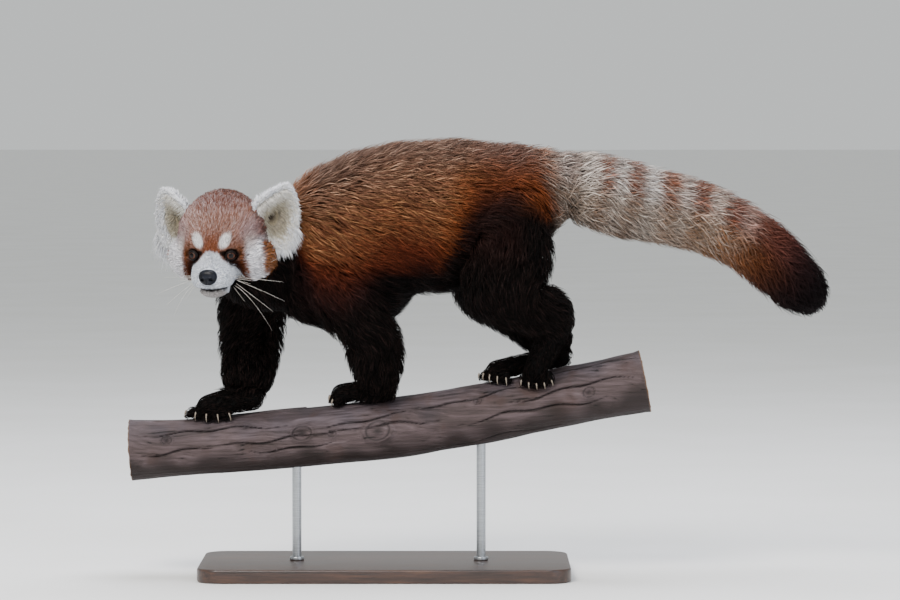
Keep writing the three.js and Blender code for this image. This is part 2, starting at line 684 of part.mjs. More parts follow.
// The ruff: locks over the cheeks and the back of the head, from the face backwards.
const RUFF = [
  { angles: [-60, -34, -8], polar: 86, length: 38, width: 32 },
  { angles: [-46], polar: 62, length: 34, width: 28 },
];
function ruffOf() {
  const locks = [];
  for (const sign of [1, -1]) {
    for (const { angles, polar, length, width } of RUFF) {
      for (const degrees of angles) {
        const start = radians(polar + vary(5));
        const angle = sign > 0 ? radians(degrees + vary(4)) : Math.PI - radians(degrees + vary(4));
        const reach = (length * (1 + vary(0.15))) / 60;
        locks.push((grow = 0) => {
          const spot = (s, half, h) => headSurface(start + reach * s, angle + half / 55, h);
          const rows = LOCK_ROWS.map((s, k) => {
            const half = LOCK_WIDTHS[k] * width;
            const edge = [-4, 0, 3][k];
            const ridge = [-1, 5, 7][k];
            return [spot(s, -half, edge), spot(s, 0, ridge), spot(s, half, edge)];
          });
          return lockSolid(rows, spot(1, 0, 9), grow);
        });
      }
    }
  }
  return locks;
}

// The white fringe of an ear, from its tip down its outer edge to its lower end.
const FRINGE = { count: 4, from: 0.42, to: 0.74, lengths: [12, 24], width: 25, thick: 4 };
function fringeOf(sign) {
  const locks = [];
  for (let i = 0; i < FRINGE.count; i++) {
    const share = i / (FRINGE.count - 1);
    const u = FRINGE.from + (FRINGE.to - FRINGE.from) * share + vary(0.01);
    const length = THREE.MathUtils.lerp(...FRINGE.lengths, share) * (1 + vary(0.15));
    const root = earPoint(sign, u, 0.9, EAR.edge * 0.5);
    const edge = earPoint(sign, u, 1, EAR.edge * 0.5);
    const out = edge.clone().sub(root).normalize();
    out.multiplyScalar(0.4);
    out.z -= 0.8;
    out.y -= 0.1;
    out.normalize();
    const facing = mirrored(EAR.facing, sign);
    const side = new THREE.Vector3().crossVectors(out, facing).normalize();
    const up = new THREE.Vector3().crossVectors(side, out);
    locks.push((grow = 0) => {
      const rows = LOCK_ROWS.map((s, k) => {
        const centre = root.clone().addScaledVector(out, (length + 4) * s);
        const half = LOCK_WIDTHS[k] * FRINGE.width;
        const low = (-FRINGE.thick * (1 - s)) / 2;
        return [
          centre.clone().addScaledVector(side, -half).addScaledVector(up, low),
          centre.clone().addScaledVector(up, FRINGE.thick * (1 - 0.5 * s)),
          centre.clone().addScaledVector(side, half).addScaledVector(up, low),
        ];
      });
      return lockSolid(rows, root.clone().addScaledVector(out, length + 4), grow);
    });
  }
  return locks;
}

// Every node: its core and its locks, what swollen cores and locks it is cut clear of, and its finish.
const nodes = new Map();
function addNode(name, finish, core, { coat = [], clear = [], under = [] } = {}) {
  nodes.set(name, { finish, core, coat, clear, under });
}
const coreOf = (name, grow) => nodes.get(name).core(grow);

// The nodes of a limb between its cuts, each one's locks lying over the next one's.
function addLengths(names, limb, cuts, finishes, { coats = names, others = [], clear = [], under = [] } = {}) {
  names.forEach((name, i) => {
    const coat = coatOf(limb, COATS[coats[i]], cuts[i], cuts[i + 1], others);
    const beside = [names[i - 1], names[i + 1]].filter(Boolean);
    const above = COATS[coats[i]].lie > 0 ? names[i - 1] : names[i + 1];
    addNode(name, finishes[i], (grow) => limb.piece(cuts[i], cuts[i + 1], grow), {
      coat,
      clear: [...clear, ...beside],
      under: [...under, above].filter(Boolean),
    });
  });
}

const legLimbs = ["foreleg", "thigh"].flatMap((k) => [limbs[`${k}_left`], limbs[`${k}_right`]]);
addNode("head", FACE, (grow) => toWorld(headCore(grow)), {
  coat: ruffOf().map((lock) => (grow) => toWorld(lock(grow))),
  clear: ["neck", "nose", "eye_left", "eye_right"],
});
addNode("neck", RUST, (grow) => limbs.neck.piece(0, 1, grow), {
  coat: coatOf(limbs.neck, COATS.neck, 0, 0.86, [limbs.trunk]),
  clear: ["chest"],
  under: ["head"],
});
addLengths(["chest", "loin"], limbs.trunk, [0, 0.44, 1], [RUST, RUST], {
  others: [limbs.neck, ...legLimbs],
  clear: ["foreleg_left_upper", "foreleg_right_upper", "hindleg_left_upper", "hindleg_right_upper", "tail_1"],
  under: ["neck"],
});
addLengths(
  ["tail_1", "tail_2", "tail_3", "tail_4"],
  limbs.tail,
  [0, 0.25, 0.5, 0.75, 1],
  [TAIL_LIGHT, TAIL_DARK, TAIL_LIGHT, TAIL_TIP],
  { others: [limbs.trunk], under: ["loin"] },
);
for (const side of ["left", "right"]) {
  const sign = side === "left" ? -1 : 1;
  const elbow = 0.48;
  addLengths([`foreleg_${side}_upper`, `foreleg_${side}_lower`], limbs[`foreleg_${side}`], [0, elbow, 1], [BLACK, BLACK], {
    coats: ["foreleg_upper", "foreleg_lower"],
    others: [limbs.trunk, limbs.neck],
    clear: ["neck"],
    under: ["chest", "neck"],
  });
  const thigh = limbs[`thigh_${side}`];
  const shank = limbs[`shank_${side}`];
  addNode(`hindleg_${side}_upper`, BLACK, (grow) => thigh.piece(0, 1, grow), {
    coat: coatOf(thigh, COATS.hindleg_upper, 0, 1, [limbs.trunk, shank]),
    clear: [],
    under: ["loin", "chest"],
  });
  addNode(`hindleg_${side}_lower`, BLACK, (grow) => shank.piece(0, 1, grow), {
    coat: coatOf(shank, COATS.hindleg_lower, 0, 1, [thigh, limbs.trunk]),
    clear: [`hindleg_${side}_upper`],
    under: ["loin", `hindleg_${side}_upper`],
  });
  for (const [foot, leg] of [
    [`forefoot_${side}`, `foreleg_${side}_lower`],
    [`hindfoot_${side}`, `hindleg_${side}_lower`],
  ]) {
    addNode(foot, BLACK, (grow) => footSolid(FEET[foot], grow), { clear: [leg, "branch"], under: [leg] });
    for (let i = 0; i < TOES; i++) {
      addNode(`claw_${foot}_${i + 1}`, CLAW, () => clawSolid(FEET[foot], i), { clear: [foot, "branch"] });
    }
  }
  addNode(`ear_${side}`, WHITE, (grow) => toWorld(ear(sign, grow)), {
    coat: fringeOf(sign).map((lock) => (grow) => toWorld(lock(grow))),
    clear: ["head", "neck"],
    under: ["head", "neck", "chest"],
  });
  addNode(`eye_${side}`, EYE, (grow) => toWorld(eyeBall(sign, grow)));
}
addNode("branch", BARK, (grow) => limbs.branch.piece(0, 1, grow));
addNode("nose", NOSE, (grow) => toWorld(nosePad(grow)));
addNode("jaw", FACE, (grow) => toWorld(joined(CHIN.map((e) => ellipsoidSolid(e, grow)))), {
  clear: ["head", "neck"],
  under: ["neck"],
});
addNode("stand_base", BASE_WOOD, standBase);
ROD.at.forEach((x, i) => addNode(`stand_rod_${i + 1}`, STEEL, () => standRod(x)));

// A node's mesh: its core cut clear of its neighbours' cores, and its locks cut clear of them
// and of the locks that lie over its own. The largest body of it is kept.
const swollen = new Map();
const swell = (name) => {
  if (!swollen.has(name)) swollen.set(name, coreOf(name, GAP));
  return swollen.get(name);
};
const cutBy = (solid, cutters) => cutters.reduce((left, cutter) => left.subtract(cutter), solid);

function nodeMesh(name) {
  const { core, coat, clear, under, finish } = nodes.get(name);
  let solid = cutBy(core(0), clear.map(swell));
  if (coat.length) {
    const meets = new Set([...clear, ...[...nodes.keys()].filter((k) => nodes.get(k).clear.includes(name))]);
    meets.delete("nose");
    const above = under.flatMap((other) => nodes.get(other).coat.map((lock) => lock(GAP)));
    const locks = cutBy(joined(coat.map((lock) => lock(0))), [...meets].map(swell));
    solid = solid.add(cutBy(locks, above));
  }
  const mesh = largest(solid).getMesh();
  const geometry = new THREE.BufferGeometry()
    .setAttribute("position", new THREE.BufferAttribute(mesh.vertProperties, 3))
    .setIndex(new THREE.BufferAttribute(mesh.triVerts, 1));
  geometry.computeVertexNormals();
  const made = new THREE.Mesh(geometry, new THREE.MeshStandardMaterial(finish));
  made.name = name;
  return made;
}

const redPanda = new THREE.Group();
redPanda.name = "red_panda";
for (const name of nodes.keys()) redPanda.add(nodeMesh(name));

export default redPanda;
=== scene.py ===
"""A red panda walking along a cut branch on a display stand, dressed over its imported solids.

Lengths are typed in millimetres, as in the part, and turned into metres as each mesh is made.
"""

from __future__ import annotations

import logging
import math
from dataclasses import dataclass
from enum import Enum

import bpy
import numpy as np
from mathutils import Matrix, Vector
from mathutils.bvhtree import BVHTree
from mathutils.kdtree import KDTree

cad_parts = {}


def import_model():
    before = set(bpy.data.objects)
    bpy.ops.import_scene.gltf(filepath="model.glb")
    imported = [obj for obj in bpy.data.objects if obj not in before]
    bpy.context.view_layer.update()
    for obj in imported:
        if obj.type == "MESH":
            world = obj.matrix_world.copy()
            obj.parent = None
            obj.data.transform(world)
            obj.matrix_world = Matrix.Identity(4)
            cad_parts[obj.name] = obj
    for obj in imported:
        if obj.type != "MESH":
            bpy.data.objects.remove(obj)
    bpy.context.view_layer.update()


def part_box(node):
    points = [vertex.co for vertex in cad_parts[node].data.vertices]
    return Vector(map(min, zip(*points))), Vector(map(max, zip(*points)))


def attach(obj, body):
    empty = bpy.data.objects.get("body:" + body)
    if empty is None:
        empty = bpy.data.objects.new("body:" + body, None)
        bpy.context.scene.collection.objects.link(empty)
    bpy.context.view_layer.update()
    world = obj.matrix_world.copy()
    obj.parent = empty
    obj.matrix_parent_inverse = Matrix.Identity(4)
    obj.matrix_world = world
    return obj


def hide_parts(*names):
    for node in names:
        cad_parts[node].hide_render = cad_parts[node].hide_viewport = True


logging.basicConfig(level=logging.INFO, format="%(message)s")
log = logging.getLogger("red_panda")

Piece = bpy.types.Object
Paint = bpy.types.Material
Array = np.ndarray
Place = tuple[float, float, float]

MM = 0.001
THINNEST = 7.0
END = 20.0
BRANCH_RADIUS = 39.0
TOES = 5
UP = np.array((0.0, 0.0, 1.0))
AHEAD = np.array((-1.0, 0.0, 0.0))


# Colour and shader helpers


def tint(code: str) -> Array:
    """Returns a linear colour from an sRGB hex code."""
    value = np.array([int(code[i : i + 2], 16) for i in (0, 2, 4)]) / 255
    return np.where(value <= 0.04045, value / 12.92, ((value + 0.055) / 1.055) ** 2.4)


def rgba(code: str) -> tuple[float, ...]:
    """Returns a linear colour with full alpha from an sRGB hex code."""
    return (*tint(code).tolist(), 1.0)


class Socket:
    """A shader socket whose Python operators add Math nodes."""

    def __init__(self, shade: "Shade", link: bpy.types.NodeSocket) -> None:
        """Wraps link, an output socket of shade's tree."""
        self.shade = shade
        self.link = link

    def _math(self, operation: str, *values: object) -> "Socket":
        """Returns the result of a Math node on values."""
        inputs = dict(enumerate(values))
        return self.shade.node("ShaderNodeMath", {"operation": operation}, inputs)

    def __add__(self, other: object) -> "Socket":
        """Returns self + other."""
        return self._math("ADD", self, other)

    def __sub__(self, other: object) -> "Socket":
        """Returns self - other."""
        return self._math("SUBTRACT", self, other)

    def __mul__(self, other: object) -> "Socket":
        """Returns self * other."""
        return self._math("MULTIPLY", self, other)

    def __truediv__(self, other: object) -> "Socket":
        """Returns self / other."""
        return self._math("DIVIDE", self, other)

    def at_least(self, other: object) -> "Socket":
        """Returns the larger of self and other."""
        return self._math("MAXIMUM", self, other)


class Shade:
    """A material under construction."""

    def __init__(self, name: str, **constants: object) -> None:
        """Starts a material.

        Args:
            name: The material's name.
            constants: Principled sockets that are the same all over, by name with underscores.
        """
        self.material = bpy.data.materials.new(name)
        self.material.use_nodes = True
        self.tree = self.material.node_tree
        self.surface = self.tree.nodes["Principled BSDF"]
        for key, value in constants.items():
            self.surface.inputs[key.replace("_", " ")].default_value = value

    def node(
        self,
        kind: str,
        settings: dict[str, object] | None = None,
        inputs: dict[str | int, object] | None = None,
        output: str | int = 0,
    ) -> Socket:
        """Adds a node.

        Args:
            kind: The node's Blender type.
            settings: Its settings, such as a Math node's operation or a ramp's stops.
            inputs: Values or links of its sockets, by name or number.
            output: Which of its outputs is wanted.

        Returns:
            The wanted output.
        """
        made = self.tree.nodes.new(kind)
        for key, value in (settings or {}).items():
            if key == "stops":
                self._stops(made, value)
            else:
                setattr(made, key, value)
        for key, value in (inputs or {}).items():
            if isinstance(value, Socket):
                self.tree.links.new(value.link, made.inputs[key])
            else:
                made.inputs[key].default_value = value
        return Socket(self, made.outputs[output])

    @staticmethod
    def _stops(ramp: bpy.types.Node, stops: list[tuple[float, tuple[float, ...]]]) -> None:
        """Sets a colour ramp's stops."""
        elements = ramp.color_ramp.elements
        while len(elements) < len(stops):
            elements.new(1.0)
        for element, (place, colour) in zip(elements, stops):
            element.position = place
            element.color = colour

    def feed(self, **links: Socket) -> None:
        """Links sockets to the Principled shader's inputs."""
        for key, value in links.items():
            self.tree.links.new(value.link, self.surface.inputs[key.replace("_", " ")])

    def place(self) -> Socket:
        """Returns the Object coordinates."""
        return self.node("ShaderNodeTexCoord", output="Object")

    def attribute(self, name: str, output: str = "Fac") -> Socket:
        """Returns a value that is kept with the mesh's points."""
        return self.node("ShaderNodeAttribute", {"attribute_name": name}, {}, output)

    def stretched(self, scale: Place, turn: float = 0.0) -> Socket:
        """Returns Object coordinates scaled by axis and turned about Y by turn radians."""
        inputs = {"Vector": self.place(), "Scale": scale, "Rotation": (0.0, turn, 0.0)}
        return self.node("ShaderNodeMapping", {}, inputs)

    def noise(self, vector: Socket, scale: float, detail: float = 3.0, rough: float = 0.5) -> Socket:
        """Returns a noise value from about 0 to 1."""
        inputs = {"Vector": vector, "Scale": scale, "Detail": detail, "Roughness": rough}
        return self.node("ShaderNodeTexNoise", {}, inputs)

    def ramp(self, value: Socket, *stops: tuple[float, str]) -> Socket:
        """Returns a colour from a ramp whose stops are places with sRGB codes."""
        settings = {"stops": [(place, rgba(code)) for place, code in stops]}
        return self.node("ShaderNodeValToRGB", settings, {"Fac": value})

    def mask(self, value: Socket, low: float, high: float) -> Socket:
        """Returns 0 where value is low, 1 where it is high, smooth between."""
        inputs = {"Value": value, "From Min": low, "From Max": high}
        return self.node("ShaderNodeMapRange", {"interpolation_type": "SMOOTHSTEP"}, inputs)

    def blend(self, share: object, first: object, second: object, how: str = "MIX") -> Socket:
        """Returns two colours mixed by share."""
        settings = {"data_type": "RGBA", "blend_type": how}
        return self.node("ShaderNodeMix", settings, {0: share, 6: first, 7: second}, output=2)

    def bump(self, height: Socket, distance: float, strength: float = 1.0) -> Socket:
        """Returns a normal from a height in metres times distance."""
        inputs = {"Height": height, "Distance": distance, "Strength": strength}
        return self.node("ShaderNodeBump", {}, inputs)


# Finishes


@dataclass(frozen=True)
class FurFinish:
    """Hair, whose colour is in the mesh's own attribute."""

    name: str
    roughness: float = 0.66
    sheen: float = 0.0

    def make(self) -> Paint:
        """Returns the material."""
        shade = Shade(
            self.name,
            Roughness=self.roughness,
            Specular_IOR_Level=0.06,
            Sheen_Weight=self.sheen,
            Sheen_Roughness=0.45,
        )
        colour = shade.attribute("coat_colour", "Color")
        streak = shade.noise(shade.place(), 900.0, 2.0)
        dark = shade.ramp(streak, (0.25, "c4c4c4"), (0.75, "ffffff"))
        shade.feed(Base_Color=shade.blend(1.0, colour, dark, "MULTIPLY"))
        return shade.material


@dataclass(frozen=True)
class HideFinish:
    """The skin under the coat, with the coat's own markings, and its shortest hair as bump."""

    name: str = "hide"

    def make(self) -> Paint:
        """Returns the material."""
        shade = Shade(self.name, Roughness=0.8, Specular_IOR_Level=0.12)
        colour = shade.attribute("coat_colour", "Color")
        grain = shade.noise(shade.place(), 620.0, 4.0, 0.65)
        dark = shade.ramp(grain, (0.3, "a4a4a4"), (0.7, "ffffff"))
        shade.feed(
            Base_Color=shade.blend(1.0, colour, dark, "MULTIPLY"),
            Normal=shade.bump(grain, 0.0012, 0.8),
        )
        return shade.material


@dataclass(frozen=True)
class EyeFinish:
    """A wet brown eye with a round pupil, painted about the axis that it looks along."""

    name: str
    centre: Place
    axis: Place
    radius: float

    def make(self) -> Paint:
        """Returns the material."""
        shade = Shade(self.name, Coat_Weight=0.4, Coat_Roughness=0.02, Specular_IOR_Level=0.0)
        away = shade.node(
            "ShaderNodeVectorMath", {"operation": "SUBTRACT"}, {0: shade.place(), 1: self.centre}
        )
        facing = shade.node(
            "ShaderNodeVectorMath", {"operation": "DOT_PRODUCT"}, {0: away, 1: self.axis}, "Value"
        )
        share = facing / self.radius
        streaks = shade.noise(shade.place(), 1500.0, 3.0)
        colour = shade.ramp(
            share + (streaks - 0.5) * 0.03,
            (0.0, "0a0504"),
            (0.6, "140908"),
            (0.68, "321a13"),
            (0.85, "57372b"),
            (0.945, "321b14"),
            (0.97, "080404"),
            (1.0, "030202"),
        )
        shade.feed(Base_Color=colour, Roughness=shade.mask(share, 1.0, 0.2) * 0.3 + 0.1)
        return shade.material


@dataclass(frozen=True)
class NoseFinish:
    """Moist, finely pebbled black skin."""

    name: str = "nose_skin"

    def make(self) -> Paint:
        """Returns the material."""
        shade = Shade(self.name, Coat_Weight=0.12, Coat_Roughness=0.3, Specular_IOR_Level=0.12)
        cells = shade.node("ShaderNodeTexVoronoi", {}, {"Vector": shade.place(), "Scale": 950.0})
        wide = shade.noise(shade.place(), 120.0, 3.0)
        shade.feed(
            Base_Color=shade.ramp(wide, (0.3, "090a0e"), (0.7, "131620")),
            Roughness=wide * 0.25 + 0.3,
            Normal=shade.bump(cells, 0.0004, 0.3),
        )
        return shade.material


@dataclass(frozen=True)
class GrainFinish:
    """A finish whose colour, roughness and relief all follow one fine grain."""

    name: str
    dark: str
    pale: str
    scale: float
    detail: float = 3.0
    stretch: Place = (1.0, 1.0, 1.0)
    swing: float = 0.0
    roughness: float = 0.3
    relief: tuple[float, float] = (0.0, 0.0)
    specular: float = 0.5
    coat: float = 0.0
    metallic: float = 0.0

    def make(self) -> Paint:
        """Returns the material."""
        shade = Shade(
            self.name,
            Specular_IOR_Level=self.specular,
            Coat_Weight=self.coat,
            Coat_Roughness=0.2,
            Metallic=self.metallic,
        )
        grain = shade.noise(shade.stretched(self.stretch), self.scale, self.detail)
        shade.feed(
            Base_Color=shade.ramp(grain, (0.3, self.dark), (0.7, self.pale)),
            Roughness=grain * self.swing + self.roughness,
        )
        if self.relief[1]:
            shade.feed(Normal=shade.bump(grain, *self.relief))
        return shade.material


LID_SKIN = GrainFinish("lid_skin", "080504", "150d0b", 700, swing=0.3, relief=(0.0004, 0.5), specular=0.12)
CLAW_HORN = GrainFinish(
    "claw_horn", "574b40", "94897a", 500, stretch=(1, 1, 5), swing=0.2, relief=(0.0003, 0.4), coat=0.2
)
WHISKER_HAIR = GrainFinish("whisker_hair", "b3ada4", "dedad4", 90, 2, roughness=0.4)
STAND_STEEL = GrainFinish(
    "stand_steel", "8b8f93", "b7babd", 60, stretch=(1, 1, 60), swing=0.2, roughness=0.22,
    relief=(0.0002, 0.3), metallic=1,
)
STUDIO_FLOOR = GrainFinish("studio_floor", "e6e6e4", "ebebea", 3, 2, roughness=0.7, specular=0.2)


@dataclass(frozen=True)
class BranchFinish:
    """Weathered wood without bark: long grain, worn pale tops, and painted shade that darkens the
    undersides and the cracks.
    """

    name: str = "branch_wood"
    slope: float = 0.135

    def make(self) -> Paint:
        """Returns the material."""
        shade = Shade(self.name, Specular_IOR_Level=0.3)
        along = shade.stretched((0.09, 1.0, 1.0), self.slope)
        bend = shade.noise(shade.stretched((0.5, 1.0, 1.0)), 14.0, 2.0)
        warped = shade.node(
            "ShaderNodeVectorMath",
            {"operation": "ADD"},
            {0: along, 1: shade.blend(0.03, (0.0, 0.0, 0.0, 1.0), bend)},
        )
        grain = shade.noise(warped, 260.0, 5.0, 0.6)
        coarse = shade.noise(warped, 70.0, 3.0, 0.6)
        patches = shade.noise(shade.place(), 16.0, 4.0, 0.6)
        hollow, top, under, sawn, ring = map(shade.attribute, ("hollow", "top", "under", "sawn", "ring"))
        wood = shade.ramp(
            grain * 0.55 + coarse * 0.45,
            (0.25, "1c1615"),
            (0.42, "3c3130"),
            (0.58, "534647"),
            (0.75, "6c6163"),
        )
        worn = shade.ramp(
            grain * 0.5 + coarse * 0.5, (0.3, "1c1719"), (0.5, "3c3438"), (0.72, "635a60")
        )
        colour = shade.blend(top * shade.mask(patches, 0.3, 0.6), wood, worn)
        rust = shade.mask(shade.noise(shade.place(), 24.0, 3.0), 0.56, 0.72) * 0.55
        colour = shade.blend(rust * 0.7, colour, rgba("3a2419"))
        # Painted shade: the downward faces darken to a near-black brown.
        colour = shade.blend(under, colour, rgba("170f0c"))
        # Painted shade: the cracks and fine checks darken to near black in their grooves. Over the knots,
        # the hollow mask gives their own darker wood.
        crack = shade.mask(grain, 0.36, 0.29).at_least(hollow)
        colour = shade.blend(crack * 0.85, colour, rgba("0b0706"))
        end = shade.ramp(
            shade.node(
                "ShaderNodeTexWave",
                {"wave_type": "BANDS", "bands_direction": "X"},
                {
                    "Vector": shade.node("ShaderNodeCombineXYZ", {}, {0: ring}),
                    "Scale": 4.4,
                    "Distortion": 1.0,
                    "Detail": 2.0,
                },
            ),
            (0.2, "6b5039"),
            (0.8, "8c7052"),
        )
        colour = shade.blend(sawn, colour, end)
        shade.feed(
            Base_Color=colour,
            Roughness=grain * 0.25 + 0.62,
            Normal=shade.bump(grain - crack * 0.6, 0.0025, 0.8),
        )
        return shade.material


@dataclass(frozen=True)
class StandWoodFinish:
    """Dark stained wood under satin lacquer."""

    name: str = "stand_wood"

    def make(self) -> Paint:
        """Returns the material."""
        shade = Shade(self.name, Coat_Weight=0.3, Coat_Roughness=0.25, Specular_IOR_Level=0.45)
        grain = shade.noise(shade.stretched((0.5, 9.0, 9.0)), 26.0, 5.0, 0.6)
        pores = shade.noise(shade.stretched((1.0, 26.0, 26.0)), 60.0, 3.0)
        colour = shade.ramp(grain, (0.3, "1d120c"), (0.5, "35221a"), (0.7, "4c3324"))
        colour = shade.blend(shade.mask(pores, 0.42, 0.3) * 0.6, colour, rgba("0d0806"))
        shade.feed(
            Base_Color=colour,
            Roughness=grain * 0.2 + 0.3,
            Normal=shade.bump(pores + grain, 0.0004, 0.4),
        )
        return shade.material


# Mesh helpers


def deselect() -> None:
    """Leaves nothing selected and no mode open."""
    if bpy.context.object and bpy.context.object.mode != "OBJECT":
        bpy.ops.object.mode_set(mode="OBJECT")
    bpy.ops.object.select_all(action="DESELECT")


def choose(*pieces: Piece) -> None:
    """Selects these pieces alone, with the first of them active."""
    deselect()
    for piece in pieces:
        piece.select_set(True)
    bpy.context.view_layer.objects.active = pieces[0]


def named(name: str) -> Piece:
    """Gives the active piece and its mesh a name, and returns the piece."""
    piece = bpy.context.object
    piece.name = name
    piece.data.name = name
    return piece


def points_of(piece: Piece) -> Array:
    """Returns a piece's vertices in millimetres."""
    flat = np.empty(len(piece.data.vertices) * 3, np.float32)
    piece.data.vertices.foreach_get("co", flat)
    return flat.reshape(-1, 3).astype(float) / MM


def move_points(piece: Piece, points: Array) -> None:
    """Puts a piece's vertices at points, in millimetres."""
    piece.data.vertices.foreach_set("co", (points * MM).astype(np.float32).ravel())
    piece.data.update()


def normals_of(piece: Piece) -> Array:
    """Returns a piece's vertex normals."""
    flat = np.empty(len(piece.data.vertices) * 3, np.float32)
    piece.data.vertex_normals.foreach_get("vector", flat)
    return flat.reshape(-1, 3).astype(float)


def new_sphere(name: str, segments: int, rings: int) -> tuple[Piece, Array, Array]:
    """Adds a sphere to be shaped.

    Args:
        name: The piece's name.
        segments: Faces round it.
        rings: Faces from pole to pole.

    Returns:
        The piece, and its vertices' angles from the pole and round it.
    """
    deselect()
    bpy.ops.mesh.primitive_uv_sphere_add(segments=segments, ring_count=rings, radius=1.0)
    piece = named(name)
    ball = points_of(piece) * MM
    polar = np.arccos(np.clip(ball[:, 2], -1, 1))
    return piece, polar, np.arctan2(ball[:, 1], ball[:, 0])


def outward(piece: Piece) -> None:
    """Turns a piece's faces outwards."""
    choose(piece)
    bpy.ops.object.mode_set(mode="EDIT")
    bpy.ops.mesh.select_all(action="SELECT")
    bpy.ops.mesh.normals_make_consistent(inside=False)
    bpy.ops.object.mode_set(mode="OBJECT")


def joined(pieces: list[Piece], name: str) -> Piece:
    """Returns several pieces joined into one."""
    choose(*pieces)
    bpy.ops.object.join()
    return named(name)


def modified(piece: Piece, kind: str, **settings: object) -> None:
    """Adds a modifier to a piece and applies it."""
    choose(piece)
    modifier = piece.modifiers.new(kind.title(), kind)
    for key, value in settings.items():
        setattr(modifier, key, value)
    bpy.ops.object.modifier_apply(modifier=modifier.name)


def smooth(piece: Piece, degrees: float = 180.0) -> None:
    """Shades a piece smooth up to an angle between faces."""
    choose(piece)
    if degrees >= 180:
        bpy.ops.object.shade_smooth()
    else:
        bpy.ops.object.shade_smooth_by_angle(angle=math.radians(degrees))


def shell(piece: Piece, degrees: float = 180.0) -> None:
    """Turns a piece's faces outwards, and shades it smooth up to an angle between them."""
    outward(piece)
    smooth(piece, degrees)


def mesh_of(name: str, points: Array, faces: Array) -> Piece:
    """Returns a new piece from points in millimetres and triangles."""
    mesh = bpy.data.meshes.new(name)
    mesh.vertices.add(len(points))
    mesh.vertices.foreach_set("co", (points * MM).astype(np.float32).ravel())
    mesh.loops.add(faces.size)
    mesh.loops.foreach_set("vertex_index", faces.astype(np.int32).ravel())
    mesh.polygons.add(len(faces))
    mesh.polygons.foreach_set("loop_start", np.arange(0, faces.size, 3, dtype=np.int32))
    mesh.polygons.foreach_set("use_smooth", np.ones(len(faces), bool))
    mesh.update(calc_edges=True)
    piece = bpy.data.objects.new(name, mesh)
    bpy.context.collection.objects.link(piece)
    return piece


def paint(piece: Piece, name: str, values: Array) -> None:
    """Writes an attribute of a piece's vertices.

    Args:
        piece: The piece.
        name: The attribute's name.
        values: One number or one colour for each vertex.
    """
    if values.ndim == 1:
        layer = piece.data.attributes.new(name, "FLOAT", "POINT")
        layer.data.foreach_set("value", values.astype(np.float32))
        return
    layer = piece.data.color_attributes.new(name, "FLOAT_COLOR", "POINT")
    full = np.ones((len(values), 4), np.float32)
    full[:, :3] = np.clip(values, 0, 1)
    layer.data.foreach_set("color", full.ravel())


def dress(
    piece: Piece, material: Paint, replaced: tuple[str, ...] = ()
) -> Piece:
    """Gives a piece its material and the nodes that it replaces, and reports it.

    Args:
        piece: The finished piece.
        material: Its material.
        replaced: The solids that it stands for.

    Returns:
        The piece.
    """
    piece.data.materials.clear()
    piece.data.materials.append(material)
    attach(piece, "root")
    if replaced:
        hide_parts(*replaced)
    log.info("%s: %d faces", piece.name, len(piece.data.polygons))
    return piece


def unit(vectors: Array) -> Array:
    """Returns vectors at length 1."""
    return vectors / np.maximum(np.linalg.norm(vectors, axis=-1, keepdims=True), 1e-9)


def off_line(middle: Array, side: Array, aside: Array, up: Array, above: Array) -> Array:
    """Returns points that lie aside of middle along side, and above it along up."""
    return middle + side * aside[..., None] + up * above[..., None]


def aheadwards(polar: Array, angle: Array) -> Array:
    """Returns a sphere's directions, with its pole along +Y."""
    return np.stack([np.sin(polar) * np.cos(angle), np.cos(polar), np.sin(polar) * np.sin(angle)], axis=1)


def mound(gap: Array, width: float | Array) -> Array:
    """Returns 1 where there is no gap, and less the further past width it gets."""
    return np.exp(-((gap / width) ** 2))


def ease(value: Array, low: float, high: float) -> Array:
    """Returns 0 where value is low, 1 where it is high, smooth between."""
    share = np.clip((value - low) / (high - low), 0, 1)
    return share * share * (3 - 2 * share)


def ripple(points: Array, size: float, seed: int) -> Array:
    """Returns a soft wandering value from about -1 to 1 that changes over size millimetres."""
    rng = np.random.default_rng(seed)
    total = np.zeros(len(points))
    for _ in range(5):
        wave = rng.normal(size=3) * (1.6 / size)
        total += np.sin(points @ wave + rng.uniform(0, 2 * math.pi))
    return total / 2.6


# Body forms


class Spline:
    """A smooth line through rows of numbers, open or closed in a ring."""

    def __init__(self, rows: Array, ring: bool = False) -> None:
        """Keeps the rows with those that lie past either end."""
        if ring:
            self.rows = np.vstack([rows[-1], rows, rows[:2]])
        else:
            self.rows = np.vstack([2 * rows[0] - rows[1], rows, 2 * rows[-1] - rows[-2]])

    def at(self, t: Array, slope: bool = False) -> Array:
        """Returns the rows, or their slopes, at values of t from 0 to 1."""
        count = len(self.rows) - 3
        place = np.clip(np.asarray(t, float), 0, 1) * count
        i = np.minimum(place.astype(int), count - 1)
        w = (place - i)[..., None]
        a, b, c, d = (self.rows[i + k] for k in range(4))
        start, end = 0.5 * (c - a), 0.5 * (d - b)
        square = -3 * b + 3 * c - 2 * start - end
        cube = 2 * b - 2 * c + start + end
        if slope:
            return start + 2 * square * w + 3 * cube * w * w
        return b + start * w + square * w * w + cube * w**3


class Part(Enum):
    """The parts of the animal that wear one kind of coat each."""

    TRUNK = "trunk"
    NECK = "neck"
    TAIL = "tail"
    FORELEG = "foreleg"
    THIGH = "thigh"
    SHANK = "shank"
    FOOT = "foot"
    HEAD = "head"


